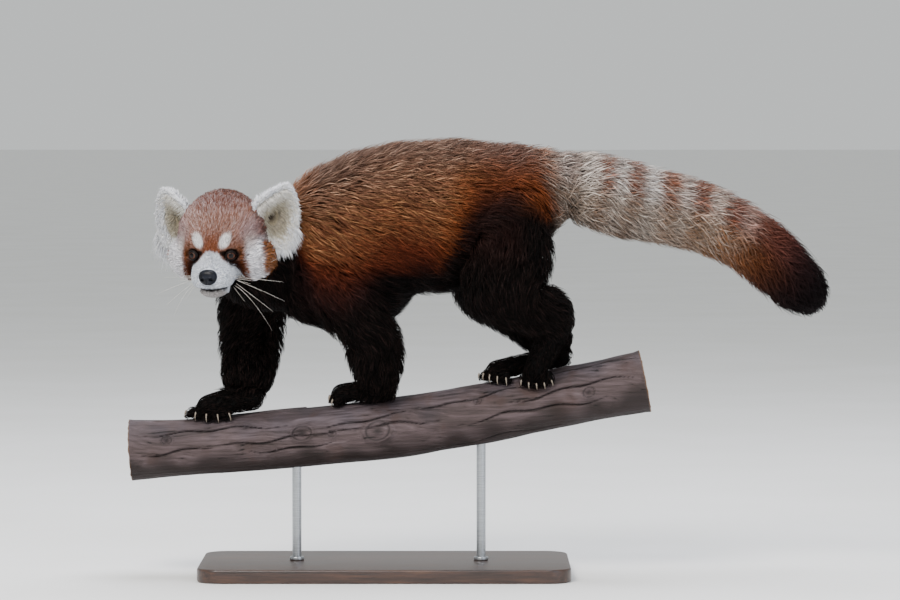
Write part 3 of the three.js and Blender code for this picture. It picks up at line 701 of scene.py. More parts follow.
@dataclass
class Limb:
    """A round-sectioned length of the body.

    Rows of stations give x, y, z and the half width and the half depths on the upper and lower
    sides, or the front and rear of a leg, out to the tips of the coat.
    """

    name: str
    part: Part
    stations: tuple[tuple[float, ...], ...]
    coat: float
    domes: tuple[float, float] = (20.0, 20.0)
    upright: bool = False
    lie: float = 1.0
    fade: float = 0.0

    def __post_init__(self) -> None:
        """Works out the limb's line and sizes."""
        rows = np.array(self.stations, float)
        self.line = Spline(rows[:, :3])
        self.sizes = Spline(rows[:, 3:])
        fine = self.line.at(np.linspace(0, 1, 200))
        self.length = float(np.linalg.norm(np.diff(fine, axis=0), axis=1).sum())
        self.samples = np.linspace(0, 1, 49)
        self.sample_points = self.line.at(self.samples)

    def thin(self, t: Array) -> Array:
        """Returns how much of the coat's depth is left at t, where it gets shorter towards a foot."""
        return 1 - self.fade * ease(t, 0.4, 1.0)

    def frame(self, t: Array) -> tuple[Array, ...]:
        """Returns the centre, the directions along, aside and up, and the skin's sizes at t."""
        t = np.asarray(t, float)
        at = np.clip(t, 0, 1)
        along = unit(self.line.at(at, slope=True))
        side = unit(np.cross(along, AHEAD if self.upright else UP))
        up = np.cross(side, along)
        past = t - at
        domes = np.where(past < 0, self.domes[0], self.domes[1]) / self.length
        shrink = np.sqrt(np.clip(1 - (past / domes) ** 2, 0, 1))[..., None]
        skin = self.sizes.at(at) - (self.coat * self.thin(at))[..., None]
        centre = self.line.at(at) + along * (past * self.length)[..., None]
        return centre, along, side, up, np.maximum(skin, THINNEST) * shrink

    def surface(self, t: Array, angle: Array, h: float = 0.0) -> Array:
        """Returns the point at t, at an angle round the limb, h over its skin."""
        centre, _, side, up, size = self.frame(t)
        depth = np.where(np.sin(angle) > 0, size[..., 1], size[..., 2])
        return off_line(centre, side, np.cos(angle) * (size[..., 0] + h), up, np.sin(angle) * (depth + h))

    def near(self, points: Array) -> tuple[Array, Array]:
        """Returns how far points lie outside the limb's skin, and their t."""
        square = (self.sample_points**2).sum(axis=1) - 2 * points @ self.sample_points.T
        t = self.samples[square.argmin(axis=1)]
        for _ in range(2):
            centre, along, *_ = self.frame(t)
            slip = ((points - centre) * along).sum(axis=1) / self.length
            t = np.clip(t + slip, 0, 1)
        centre, along, side, up, size = self.frame(t)
        away = points - centre
        above = (away * up).sum(axis=1)
        depth = np.where(above > 0, size[:, 1], size[:, 2])
        share = np.sqrt(
            ((away * side).sum(axis=1) / size[:, 0]) ** 2
            + (above / depth) ** 2
            + ((away * along).sum(axis=1) / END) ** 2
        )
        reach = np.linalg.norm(away, axis=1)
        return reach * (1 - 1 / np.maximum(share, 1e-6)), t

    def mesh(self, segments: int = 40, rings: int = 44) -> Piece:
        """Returns the limb's skin as a closed mesh shaped from a sphere."""
        piece, polar, angle = new_sphere(f"form_{self.name}", segments, rings)
        ends = np.array(self.domes) / self.length
        t = -ends[0] + (1 + ends.sum()) * polar / math.pi
        move_points(piece, self.surface(t, angle))
        return piece


TRUNK = Limb(
    "trunk",
    Part.TRUNK,
    (
        (-110, -2, 419, 60, 78, 104),
        (-65, 0, 436, 74, 97, 132),
        (6, 0, 465, 83, 96, 104),
        (72, 0, 466, 85, 101, 100),
        (130, 0, 474, 79, 94, 88),
        (178, 0, 492, 64, 73, 68),
        (214, 0, 507, 46, 51, 48),
    ),
    coat=26,
    domes=(40, 20),
)
NECK = Limb(
    "neck",
    Part.NECK,
    (
        (-92, -2, 440, 58, 70, 90),
        (-133, -10, 434, 56, 62, 90),
        (-165, -30, 430, 54, 58, 86),
        (-186, -52, 426, 50, 54, 76),
    ),
    coat=24,
    domes=(10, 12),
    lie=-1.0,
)
TAIL = Limb(
    "tail",
    Part.TAIL,
    (
        (212, 0, 507, 44, 51, 47),
        (251, 2, 503, 46, 50, 47),
        (295, 5, 493, 48, 50, 50),
        (344, 9, 481, 47, 48, 47),
        (396, 13, 468, 45, 48, 44),
        (442, 17, 449, 43, 47, 39),
        (481, 20, 424, 42, 47, 37),
        (516, 22, 395, 40, 44, 38),
        (546, 23, 369, 34, 34, 34),
    ),
    coat=30,
    domes=(6, 6),
)
LEGS = (
    Limb(
        "foreleg_left",
        Part.FORELEG,
        (
            (-78, -32, 410, 34, 46, 44),
            (-46, -48, 363, 34, 52, 38),
            (-15, -52, 321, 32, 45, 34),
            (-9, -44, 287, 30, 38, 35),
            (-9, -24, 254, 27, 29, 28),
        ),
        coat=17,
        domes=(24, 10),
        upright=True,
        fade=0.6,
    ),
    Limb(
        "foreleg_right",
        Part.FORELEG,
        (
            (-135, 26, 406, 34, 54, 46),
            (-163, 36, 357, 34, 60, 44),
            (-171, 36, 316, 31, 48, 41),
            (-176, 26, 283, 30, 39, 37),
            (-179, 4, 250, 28, 35, 33),
        ),
        coat=17,
        domes=(24, 10),
        upright=True,
        fade=0.6,
    ),
    Limb(
        "thigh_left",
        Part.THIGH,
        ((169, -34, 481, 36, 58, 42), (158, -50, 429, 38, 56, 64), (146, -60, 379, 36, 52, 66)),
        coat=18,
        domes=(24, 24),
        upright=True,
    ),
    Limb(
        "thigh_right",
        Part.THIGH,
        ((169, 34, 481, 36, 56, 40), (150, 50, 425, 38, 54, 54), (130, 58, 370, 34, 48, 44)),
        coat=18,
        domes=(24, 24),
        upright=True,
    ),
    Limb(
        "shank_left",
        Part.SHANK,
        ((139, -62, 372, 32, 42, 50), (184, -58, 352, 30, 38, 43), (220, -50, 338, 25, 30, 32)),
        coat=16,
        domes=(20, 16),
        upright=True,
        fade=0.6,
    ),
    Limb(
        "shank_right",
        Part.SHANK,
        ((131, 62, 364, 32, 38, 38), (182, 48, 330, 29, 33, 33), (221, 24, 303, 25, 26, 28)),
        coat=16,
        domes=(20, 16),
        upright=True,
        fade=0.6,
    ),
)
BRANCH = Limb(
    "branch",
    Part.FOOT,
    (
        (-331, 0, 162, 40, 40, 40),
        (-240, 0, 167, 37, 37, 37),
        (-162, 0, 175, 39, 39, 39),
        (-84, 0, 181, 38, 38, 38),
        (20, 0, 192, 40, 40, 40),
        (124, 0, 209, 39.5, 39.5, 39.5),
        (228, 0, 230, 39, 39, 39),
        (338, 0, 252, 41, 41, 41),
    ),
    coat=0,
)


@dataclass
class HeadForm:
    """The soft form of the head, in its own frame: +X its right, +Y ahead, +Z the crown."""

    at: Place = (-207, -79, 435)
    turn: float = 166.0
    pitch: float = 10.0
    melt: float = 3.0
    forms: tuple[tuple[float, ...], ...] = (
        (0, -8, 9, 60, 54, 59),
        (0, 12, -6, 54, 36, 44),
        (38, 4, -18, 33, 34, 32),
        (-38, 4, -18, 33, 34, 32),
        (0, 34, -31, 30, 34, 22),
        (11, 48, -38, 15, 18, 12),
        (-11, 48, -38, 15, 18, 12),
        (22, 26, 10, 17, 17, 14),
        (-22, 26, 10, 17, 17, 14),
    )
    chin: tuple[float, ...] = (0, 37, -51, 20, 25, 13)
    skull: Place = (0, -6, 2)
    snout: Place = (0, 32, -28)
    eye_x: float = 25.0
    eye_z: float = -8.0
    nose: Place = (0, 66, -32)

    def __post_init__(self) -> None:
        """Works out the head's place."""
        spin = Matrix.Rotation(math.radians(self.turn), 3, "Z")
        nod = Matrix.Rotation(math.radians(-self.pitch), 3, "X")
        self.axes = np.array(spin @ nod)
        self.origin = np.array(self.at, float)

    def from_eye(self, a: Array, z: Array, squash: float = 1.0) -> Array:
        """Returns how far places of the face lie from the middle of an eye, seen from ahead."""
        return np.hypot(a - self.eye_x, (z - self.eye_z) * squash)

    @staticmethod
    def from_mouth(a: Array, z: Array) -> Array:
        """Returns how far places of the face lie above or below the line of the mouth."""
        return np.abs(z + 50.2 - 0.005 * a * a)

    def world(self, points: Array) -> Array:
        """Returns points of the head's own frame in the model's."""
        return np.asarray(points, float) @ self.axes.T + self.origin

    def own(self, points: Array) -> Array:
        """Returns points of the model's frame in the head's own."""
        return (np.asarray(points, float) - self.origin) @ self.axes

    def outside(self, points: Array, chin: bool = True) -> Array:
        """Returns about how far points of the head's own frame lie outside the tips of its coat."""
        total = np.zeros(len(points))
        forms = (*self.forms, self.chin) if chin else self.forms
        for x, y, z, wide, long, tall in forms:
            share = (points - (x, y, z)) / (wide, long, tall)
            size = np.linalg.norm(share, axis=1)
            slope = np.linalg.norm(share / (wide, long, tall), axis=1)
            gap = size * (size - 1) / np.maximum(slope, 1e-6)
            total += np.exp(-np.clip(gap / self.melt, -60, 60))
        return -self.melt * np.log(np.maximum(total, 1e-30))

    def slope(self, points: Array) -> Array:
        """Returns the directions that lead straight out of the head at points of its own frame."""
        step = 0.5
        parts = [
            self.outside(points + axis * step) - self.outside(points - axis * step)
            for axis in np.eye(3)
        ]
        return unit(np.stack(parts, axis=1))

    def coat_depth(self, points: Array) -> Array:
        """Returns how deep the coat is over the skin at points of the head's own frame."""
        x, y, z = np.abs(points[:, 0]), points[:, 1], points[:, 2]
        depth = 1.9 + 6.6 * ease(y, 52, 22) + 6.0 * ease(y, 24, -16)
        depth += 4.5 * ease(x, 40, 58) * ease(z, 12, -20)
        return depth - 1.6 * ease(self.from_eye(x, z), 22, 9) * ease(y, 20, 34)

    def flare(self, points: Array) -> Array:
        """Returns how far the coat stands out past the head's form at points of its own frame."""
        x, y, z = np.abs(points[:, 0]), points[:, 1], points[:, 2]
        cheek = 5.5 * ease(x, 36, 56) * ease(z, 42, 12) * ease(y, 34, 12)
        jowl = 4.0 * ease(x, 26, 44) * ease(z, -30, -46) * ease(y, 40, 22)
        return cheek + jowl + 2.5 * ease(z, 40, 60)

    def mesh(self) -> Piece:
        """Returns the head's skin as a closed mesh shaped from a sphere."""
        piece, polar, angle = new_sphere("form_head", 72, 60)
        way = aheadwards(polar, angle)
        share = (np.cos(polar / 2) ** 4)[:, None]
        hub = np.array(self.skull) * (1 - share) + np.array(self.snout) * share
        reach = np.full(len(way), 8.0)
        for _ in range(110):
            spot = hub + way * reach[:, None]
            reach += np.where(self.outside(spot) + self.coat_depth(spot) < 0, 1.0, 0.0)
        move_points(piece, self.world(hub + way * reach[:, None]))
        return piece


HEAD = HeadForm()


@dataclass
class Foot:
    """A foot that stands on the branch, round it by an angle from its near side over its top."""

    name: str
    x: float
    angle: float
    heading: float
    wide: float
    thick: float
    heel: Place
    spread: float = 7.6
    toe_length: float = 13.0
    toe_radius: float = 7.5
    gather: float = 0.7
    fan: float = 5.0
    fur: float = 3.0
    toes_start: float = 6.0

    def on_branch(self, x: float, degrees: float, h: float) -> Array:
        """Returns the point of the branch's surface at x and an angle, h over it."""
        first, last = BRANCH.stations[0][0], BRANCH.stations[-1][0]
        t = (x - first) / (last - first)
        for _ in range(6):
            t += (x - float(BRANCH.line.at(np.array(t))[0])) / (last - first)
        return BRANCH.surface(np.array(t), np.array(math.radians(degrees)), h)

    def beside(self, ahead: float, aside: float, h: float) -> Array:
        """Returns a place ahead of the foot's ball and to its side, h over the branch."""
        turn = math.radians(self.heading)
        along = -ahead * math.cos(turn) - aside * math.sin(turn)
        around = -ahead * math.sin(turn) + aside * math.cos(turn)
        return self.on_branch(self.x + along, self.angle + math.degrees(around / BRANCH_RADIUS), h)

    def toe(self, i: int) -> tuple[Array, Array]:
        """Returns the root and the tip of a toe's bone."""
        offset = i - (TOES - 1) / 2
        fan = math.radians(offset * self.fan)
        reach = self.toe_length * (1 - 0.08 * offset**2)
        aside = offset * self.spread
        root = self.beside(self.toes_start, aside * self.gather, self.toe_radius + 2)
        ahead = self.toes_start + reach * math.cos(fan)
        return root, self.beside(ahead, aside + reach * math.sin(fan), self.toe_radius * 0.8)

    def limb(self) -> Limb:
        """Returns the foot without its toes."""
        ball = self.beside(4, 0, self.thick)
        heel = np.array(self.heel, float)
        middle = heel * 0.45 + ball * 0.55
        wide, thick = self.wide, self.thick
        return Limb(
            self.name,
            Part.FOOT,
            (
                (*heel, wide * 0.85, thick * 1.25, thick * 1.25),
                (*middle, wide * 0.95, thick * 1.15, thick * 1.15),
                (*ball, wide, thick, thick),
            ),
            coat=self.fur + 1.5,
            domes=(12, 14),
            upright=bool(heel[2] - ball[2] > 2 * wide),
        )

    def toe_mesh(self, i: int) -> Piece:
        """Returns a toe's skin as a closed mesh shaped from a sphere."""
        root, tip = self.toe(i)
        piece, polar, angle = new_sphere(f"toe_{self.name}_{i}", 16, 14)
        along = unit(tip - root)
        side = unit(np.cross(along, UP))
        up = np.cross(side, along)
        radius = self.toe_radius - self.fur * 0.2
        share = polar / math.pi
        line = off_line(root, tip - root, share, along, -np.cos(polar) * radius * 0.8)
        half = radius * np.sin(polar) ** 0.8 * (1.08 - 0.16 * share)
        move_points(piece, off_line(line, side, np.cos(angle) * half, up, np.sin(angle) * half))
        return piece


FEET = (
    Foot("forefoot_left", -44, 92, -4, 25, 14, (2, -12, 240)),
    Foot("forefoot_right", -221, 88, 74, 28, 16, (-172, 2, 232), spread=13),
    Foot("hindfoot_left", 206, 62, 78, 23, 17, (228, -50, 336)),
    Foot("hindfoot_right", 161, 92, 46, 20, 14, (230, 18, 282), spread=9),
)
BODY = (TRUNK, NECK, TAIL, *LEGS)
LIMBS = (*BODY, *(foot.limb() for foot in FEET))


# Markings


def stops(*rows: tuple[float, str]) -> tuple[Array, Array]:
    """Returns places and colours to run between, from places with sRGB codes."""
    return np.array([place for place, _ in rows]), np.array([tint(code) for _, code in rows])


def run(value: Array, table: tuple[Array, Array]) -> Array:
    """Returns colours from a table of stops."""
    places, colours = table
    return np.stack([np.interp(value, places, colours[:, k]) for k in range(3)], axis=1)


def over(colour: Array, share: Array, top: Array | str) -> Array:
    """Returns colour with top laid over it by share."""
    laid = tint(top) if isinstance(top, str) else top
    return colour + (laid - colour) * share[:, None]


FLANK = stops(
    (0.0, "431d12"), (0.14, "602c19"), (0.34, "6c3a24"), (0.55, "6e4431"), (0.78, "664536"),
    (1.0, "5e453b"),
)
RUMP = stops((0.0, "331b15"), (0.3, "6a351d"), (0.6, "6e402b"), (1.0, "684b41"))
TAIL_TOP = stops(
    (-0.02, "8c5230"), (0.02, "a08474"), (0.06, "a89890"), (0.12, "a28c80"), (0.14, "d9cdc2"),
    (0.18, "dccfc4"), (0.196, "885038"), (0.225, "8a523a"), (0.243, "e2d8cf"), (0.278, "e6dcd4"),
    (0.294, "824a34"), (0.325, "8a523a"), (0.344, "e6ddd6"), (0.385, "e9e1da"), (0.402, "965c42"),
    (0.442, "935a40"), (0.46, "dccec4"), (0.484, "dccec4"), (0.498, "864c36"), (0.53, "854c36"),
    (0.547, "d2bfb2"), (0.582, "d0bcae"), (0.6, "804a36"), (0.642, "80493a"), (0.664, "b99a8e"),
    (0.69, "b0897c"), (0.72, "7c4838"), (0.8, "6c3e34"), (0.87, "482a27"), (0.94, "271819"),
    (1.05, "171012"),
)
TAIL_UNDER = stops(
    (0.0, "5a3a26"), (0.06, "77624f"), (0.2, "877260"), (0.42, "978472"), (0.54, "94755a"),
    (0.66, "875c36"), (0.76, "744524"), (0.85, "4f2c1d"), (0.93, "2a1917"), (1.05, "171012"),
)
TEAR = stops((24, "1c0c08"), (34, "35160b"), (40, "633318"), (46, "7a4526"))
# The ear's skin and the hair inside it darken towards the hub: painted shade in the cup, near black where
# the ear's opening is.
EAR_SKIN = stops((0.0, "1a1310"), (0.12, "362c25"), (0.3, "8b806a"), (0.5, "b5aa90"), (0.8, "dcd7ca"))
EAR_LINING = stops((0.3, "938873"), (0.5, "c4baa2"), (0.8, "eeeae2"))


@dataclass(frozen=True)
class Markings:
    """The colours of the coat, by place. Colours on the body go by x and z, the same on both sides."""

    edge_x: tuple[float, ...] = (
        -190, -170, -135, -118, -110, -85, -52, -30, -6, 20, 46, 71, 85, 95, 101, 121, 150, 175, 199, 214,
    )
    edge_z: tuple[float, ...] = (
        452, 450, 446, 438, 410, 372, 366, 380, 396, 400, 402, 397, 410, 436, 459, 477, 482, 481, 471, 461,
    )
    edge_soft: tuple[float, ...] = (
        9, 9, 12, 14, 20, 32, 36, 26, 14, 9, 8, 8, 7, 7, 7, 12, 18, 16, 12, 10,
    )
    back_x: tuple[float, ...] = (-190, -110, -65, 6, 72, 130, 178, 214)
    back_z: tuple[float, ...] = (480, 500, 535, 562, 566, 567, 564, 558)

    def body(self, p: Array, tip: Array, fleck: Array) -> Array:
        """Returns the trunk's, neck's and legs' colours.

        Args:
            p: Points in millimetres.
            tip: How near each is to its tuft's tip, from 0 to 1.
            fleck: How pale each one's tuft is, from 0 to 1.

        Returns:
            Linear colours.
        """
        x, z = p[:, 0], p[:, 2] + 5 * ripple(p, 26, 3)
        edge = np.interp(x, self.edge_x, self.edge_z)
        back = np.interp(x, self.back_x, self.back_z)
        height = (z - edge) / (back - edge)
        colour = over(run(height, FLANK), ease(x, 96, 140), run(height, RUMP))
        loin = ease(x, 60, 92) * ease(x, 128, 98) * ease(height, 0.95, 0.2)
        colour = over(colour, 0.6 * loin, "7a3f1c")
        colour = over(colour, 0.7 * ease(x, 165, 205) * ease(height, 0.95, 0.3), "7c401f")
        colour = over(colour, 0.7 * ease(x, -75, -115) * ease(height, 0.1, 0.5), "8a5534")
        pale = 0.12 + 0.8 * ease(fleck, 0.35, 0.85)
        golden = 0.75 * ease(height, 0.08, 0.45) * ease(height, 1.2, 0.75) * ease(x, 170, 60)
        colour = over(colour, golden * tip * pale, "c08b5c")
        colour = over(colour, 0.7 * tip * pale * ease(height, 0.5, 0.95), "b39a8c")
        soft = np.interp(x, self.edge_x, self.edge_soft)
        dark = ease(z, edge + soft, edge - soft)
        shoulder = ease(x, -125, -95) * ease(x, -5, -35) * ease(z, 330, 370)
        black = over(np.tile(tint("090605"), (len(p), 1)), 0.5 * shoulder, "331c1c")
        # Painted sheen: a dark red-brown laid over the black fur of the upper thigh.
        haunch_sheen = ease(x, 85, 110) * ease(x, 190, 160) * ease(z, 385, 440)
        black = over(black, 0.6 * haunch_sheen, "2a1613")
        black = over(black, 0.5 * tip * ease(fleck, 0.3, 0.9), "392a27")
        return over(colour, dark, black)

    def tail(
        self, p: Array, tip: Array, t: Array, above: Array, fleck: Array
    ) -> Array:
        """Returns the tail's colours.

        Args:
            p: Points in millimetres.
            tip: How near each is to its tuft's tip, from 0 to 1.
            t: Where each is along the tail.
            above: How far each is round to the top, from -1 to 1.
            fleck: How pale each one's tuft is, from 0 to 1.

        Returns:
            Linear colours.
        """
        t = t + 0.008 * ripple(p, 14, 5)
        ringed = run(t, TAIL_TOP)
        colour = over(run(t, TAIL_UNDER), 0.22 + 0.78 * ease(above, -0.25, 0.5), ringed) * 0.86
        return over(colour, 0.5 * tip * ease(fleck, 0.3, 0.9) * ease(t, 0.8, 0.6), "e6dbcf")

    def head(self, q: Array, tip: Array, fleck: Array) -> Array:
        """Returns the head's colours.

        Args:
            q: Points in millimetres in the head's own frame.
            tip: How near each is to its tuft's tip, from 0 to 1.
            fleck: How pale each one's tuft is, from 0 to 1.

        Returns:
            Linear colours.
        """
        a, y, z = np.abs(q[:, 0]), q[:, 1], q[:, 2]
        wander = 1.2 * ripple(q, 9, 8)
        colour = np.tile(tint("8a5f4d"), (len(q), 1))
        colour = over(colour, ease(z, 34, 60), "663a2c")
        colour = over(colour, 0.7 * ease(a, 26, 44) * ease(z, 44, 26), "91787a")
        colour = over(colour, ease(y, 14, -18) * ease(z, -30, 10), "5e3322")
        colour = over(colour, ease(a + wander, 52, 60) * ease(z, 40, 20), "5c2c18")
        stripe = ease(a + wander, 14, 7) * ease(z, 34, 10) * ease(y, 20, 34)
        colour = over(colour, 0.85 * stripe, "7c3f18")
        temple = ease(np.hypot(a - 37, (z + 1) * 0.8), 13, 5) * ease(y, 10, 24)
        colour = over(colour, 0.75 * temple, "75462a")
        # Pale tips give the crown its pepper and salt. Making them palest on the animal's right, the side
        # that faces the light, is painted light.
        side = 0.55 + 0.45 * ease(q[:, 0], -20, 34)
        grizzle = (0.15 + 0.85 * ease(fleck, 0.1, 0.5)) * ease(tip, 0.3, 0.9) * ease(z, -8, 18)
        grizzle = grizzle * (0.3 + 0.7 * ease(a, 58, 46)) * (1 - 0.65 * stripe)
        colour = over(colour, grizzle * side, "e6cfcb")
        # The white spot over each eye leans outwards.
        lean = (a - 18.0) * 0.87 - (z - 11.0) * 0.5
        rise = (a - 18.0) * 0.5 + (z - 11.0) * 0.87
        spot = ease(np.hypot(lean / 6.8, rise / 10.0) + wander * 0.04, 1.25, 0.7) * ease(y, 24, 34)
        colour = over(colour, spot, "f3f1f1")
        # From the corner of the eye to the corner of the mouth.
        tear = ease(z, -12, -18) * ease(a + wander, 18, 24) * ease(a + wander, 47.5, 43)
        tear_colour = over(run(a, TEAR), 0.7 * ease(z, -34, -50), "1d1110")
        colour = over(colour, tear * ease(y, 0, 14), tear_colour)
        beside_eye = ease(a, 33, 36) * ease(a, 46, 42) * ease(z, -22, -12) * ease(z, 6, -4)
        colour = over(colour, 0.9 * beside_eye, "6e3d1c")
        # The white band down each cheek.
        middle = 53.0 - 3.5 * ease(z, -20, 10) - 2.0 * ease(z, -35, -60)
        far = np.where(q[:, 0] > 0, 10.0, 0.0)
        off = a + wander - middle
        band = ease(np.maximum(-off, (off - far) * 0.9), 11.0, 6.5) * ease(z, 16, -2) * ease(z, -70, -60)
        colour = over(colour, band * ease(y, -12, 2), "f0eef3")
        brow = ease(np.abs(a - 46), 9, 3) * ease(z, 24, 8) * ease(z, -12, 4)
        colour = over(colour, 0.55 * brow, "c9bab4")
        behind = ease(a + wander - far, 59, 66) * ease(z, 30, 0)
        colour = over(colour, np.maximum(behind, ease(y + far, 4, -10) * ease(z, 0, -14)), "87542f")
        low = np.interp(a, (0, 8, 13, 20, 26, 32, 36, 60), (-2, -5, -10, -16, -21, -31, -46, -70))
        muzzle = ease(z + wander, low + 1.5, low - 1.5) * ease(y, 20, 30)
        colour = over(colour, muzzle, "ecf1fb")
        rim = ease(HEAD.from_eye(a, z, 1.1), 10.8, 8.2) * ease(y, 24, 34)
        inwards = a - 17.5
        corner = ease(np.hypot(inwards * 0.75, (z + 5.5) * 1.25 + inwards * 0.2), 6.2, 3.6)
        colour = over(colour, np.maximum(rim, corner * ease(y, 30, 40)), "170c09")
        mouth = ease(HEAD.from_mouth(a, z), 2.6, 1.4) * ease(a, 24, 18) * ease(y, 36, 44)
        under = ease(z + 0.35 * (y - 40), -58, -63)
        colour = over(colour, under, "0f0b0c")
        chin = ease(a, 20, 15) * ease(z, -51, -52) * ease(y, 38, 46) * ease(z, -66, -60)
        return over(over(colour, chin, "b9b4b2"), mouth, "0c0807")


MARKINGS = Markings()


# Skin


@dataclass
class Skin:
    """One skin over the whole body, under the coat."""

    voxel: float = 2.6
    rounds: int = 10

    def build(self) -> Piece:
        """Returns the skin, joined from the forms of the limbs, the head and the feet."""
        forms = [limb.mesh() for limb in LIMBS]
        forms += [foot.toe_mesh(i) for foot in FEET for i in range(TOES)]
        forms.append(HEAD.mesh())
        skin = joined(forms, "hide")
        modified(skin, "REMESH", mode="VOXEL", voxel_size=self.voxel * MM)
        modified(skin, "SMOOTH", factor=0.5, iterations=self.rounds)
        self.carve(skin)
        smooth(skin)
        return skin

    def carve(self, skin: Piece) -> None:
        """Brings the face back to its own form, with sockets for the eyes and a mouth."""
        points = points_of(skin)
        q = HEAD.own(points)
        near = (np.abs(q) < 95).all(axis=1) & (q[:, 1] > -30)
        face = q[near]
        blend = ease(face[:, 1], 0, 22)[:, None]
        target = face.copy()
        for _ in range(3):
            gap = HEAD.outside(target) + HEAD.coat_depth(target)
            target = target - HEAD.slope(target) * np.clip(gap, -6, 6)[:, None]
        a, y, z = np.abs(target[:, 0]), target[:, 1], target[:, 2]
        pit = 4.5 * ease(HEAD.from_eye(a, z), 11, 5) * ease(y, 20, 32)
        mouth = 3.5 * ease(HEAD.from_mouth(a, z), 3.2, 0.6) * ease(a, 24, 17) * ease(y, 36, 44)
        cleft = 1.5 * ease(a, 3, 0.5) * ease(z, -38, -42) * ease(z, -53, -49) * ease(y, 50, 56)
        target = target - HEAD.slope(target) * (pit + mouth + cleft)[:, None]
        points[near] = HEAD.world(face + (target - face) * blend)
        move_points(skin, points)


# Coat


LONG = (0.0, 0.34, 0.7, 1.0)
SHORT = (0.0, 0.45, 1.0)
PATCH = (0.0015, 0.001)


def spread_out(piece: Piece, place: Array, faces: Array, size: int) -> None:
    """Gives each tuft a small patch of the map.

    Args:
        piece: The tufts' piece.
        place: Where each tuft's root is on the map.
        faces: The piece's triangles.
        size: How many points a tuft has.
    """
    rings = (size - 2) // 3
    patch = [(0, 0), *((i - 1, ring + 1) for ring in range(rings) for i in range(3)), (0, rings + 1)]
    spots = (place[:, None] + np.array(patch)[None] * PATCH).reshape(-1, 2)
    layer = piece.data.uv_layers.new(name="OFBake")
    layer.data.foreach_set("uv", spots[faces.ravel()].astype(np.float32).ravel())


@dataclass(frozen=True)
class CoatPlan:
    """How one part of the body is covered: sizes in millimetres."""

    part: Part
    count: int
    length: float
    depth: float
    width: float
    sweep: float = 0.0
    curl: float = 0.12
    pieces: int = 1
    slot: str = "body_fur"
    stations: tuple[float, ...] = LONG


PLANS = (
    CoatPlan(Part.TRUNK, 36000, 42, 26, 0.72, 0.45, pieces=3),
    CoatPlan(Part.NECK, 11000, 38, 24, 0.72, 0.5),
    CoatPlan(Part.TAIL, 20000, 50, 31, 0.75, 0.3, 0.16, pieces=2, slot="tail_fur"),
    CoatPlan(Part.FORELEG, 12000, 29, 17, 0.75, slot="leg_fur"),
    CoatPlan(Part.THIGH, 10000, 33, 18, 0.75, slot="leg_fur"),
    CoatPlan(Part.SHANK, 8000, 27, 16, 0.75, slot="leg_fur"),
    CoatPlan(Part.HEAD, 34000, 2.0, 1.0, 0.5, pieces=2, slot="face_fur", stations=SHORT),
    CoatPlan(Part.FOOT, 9000, 9, 3.4, 0.55, slot="leg_fur", stations=SHORT),
)


def tuft_shape(lines: Array, width: Array, normals: Array) -> tuple[Array, Array]:
    """Returns closed tufts: pointed at the root and at the tip, and three-sided between.

    Args:
        lines: The points along each tuft.
        width: Each tuft's half width.
        normals: The skin's normals at the roots.

    Returns:
        The points of each tuft, and all the triangles.
    """
    count, stations = lines.shape[:2]
    rings = stations - 2
    points = np.empty((count, 2 + 3 * rings, 3))
    along = unit(lines[:, -1] - lines[:, 0])
    side = unit(np.cross(along, normals))
    up = np.cross(side, along)
    points[:, 0], points[:, -1] = lines[:, 0], lines[:, -1]
    for ring in range(rings):
        half = (width * (1 - 0.28 * ring))[:, None]
        first = 1 + 3 * ring
        points[:, first] = lines[:, ring + 1] - side * half
        points[:, first + 1] = lines[:, ring + 1] + up * half * 0.7
        points[:, first + 2] = lines[:, ring + 1] + side * half
    last = 1 + 3 * rings
    faces = [(0, 2, 1), (0, 3, 2), (0, 1, 3)]
    for ring in range(rings - 1):
        for i in range(3):
            a, b = 1 + 3 * ring + i, 1 + 3 * ring + (i + 1) % 3
            faces += [(a, b, b + 3), (a, b + 3, a + 3)]
    faces += [(last - 3, last - 2, last), (last - 2, last - 1, last), (last - 1, last - 3, last)]
    whole = np.array(faces)[None] + points.shape[1] * np.arange(count)[:, None, None]
    return points, whole.reshape(-1, 3)


def per_point(stations: tuple[float, ...], values: Array) -> Array:
    """Returns values, one for each station of a tuft, repeated for the points of its shape."""
    repeats = [1] + [3] * (len(stations) - 2) + [1]
    return np.repeat(values, repeats, axis=-1)


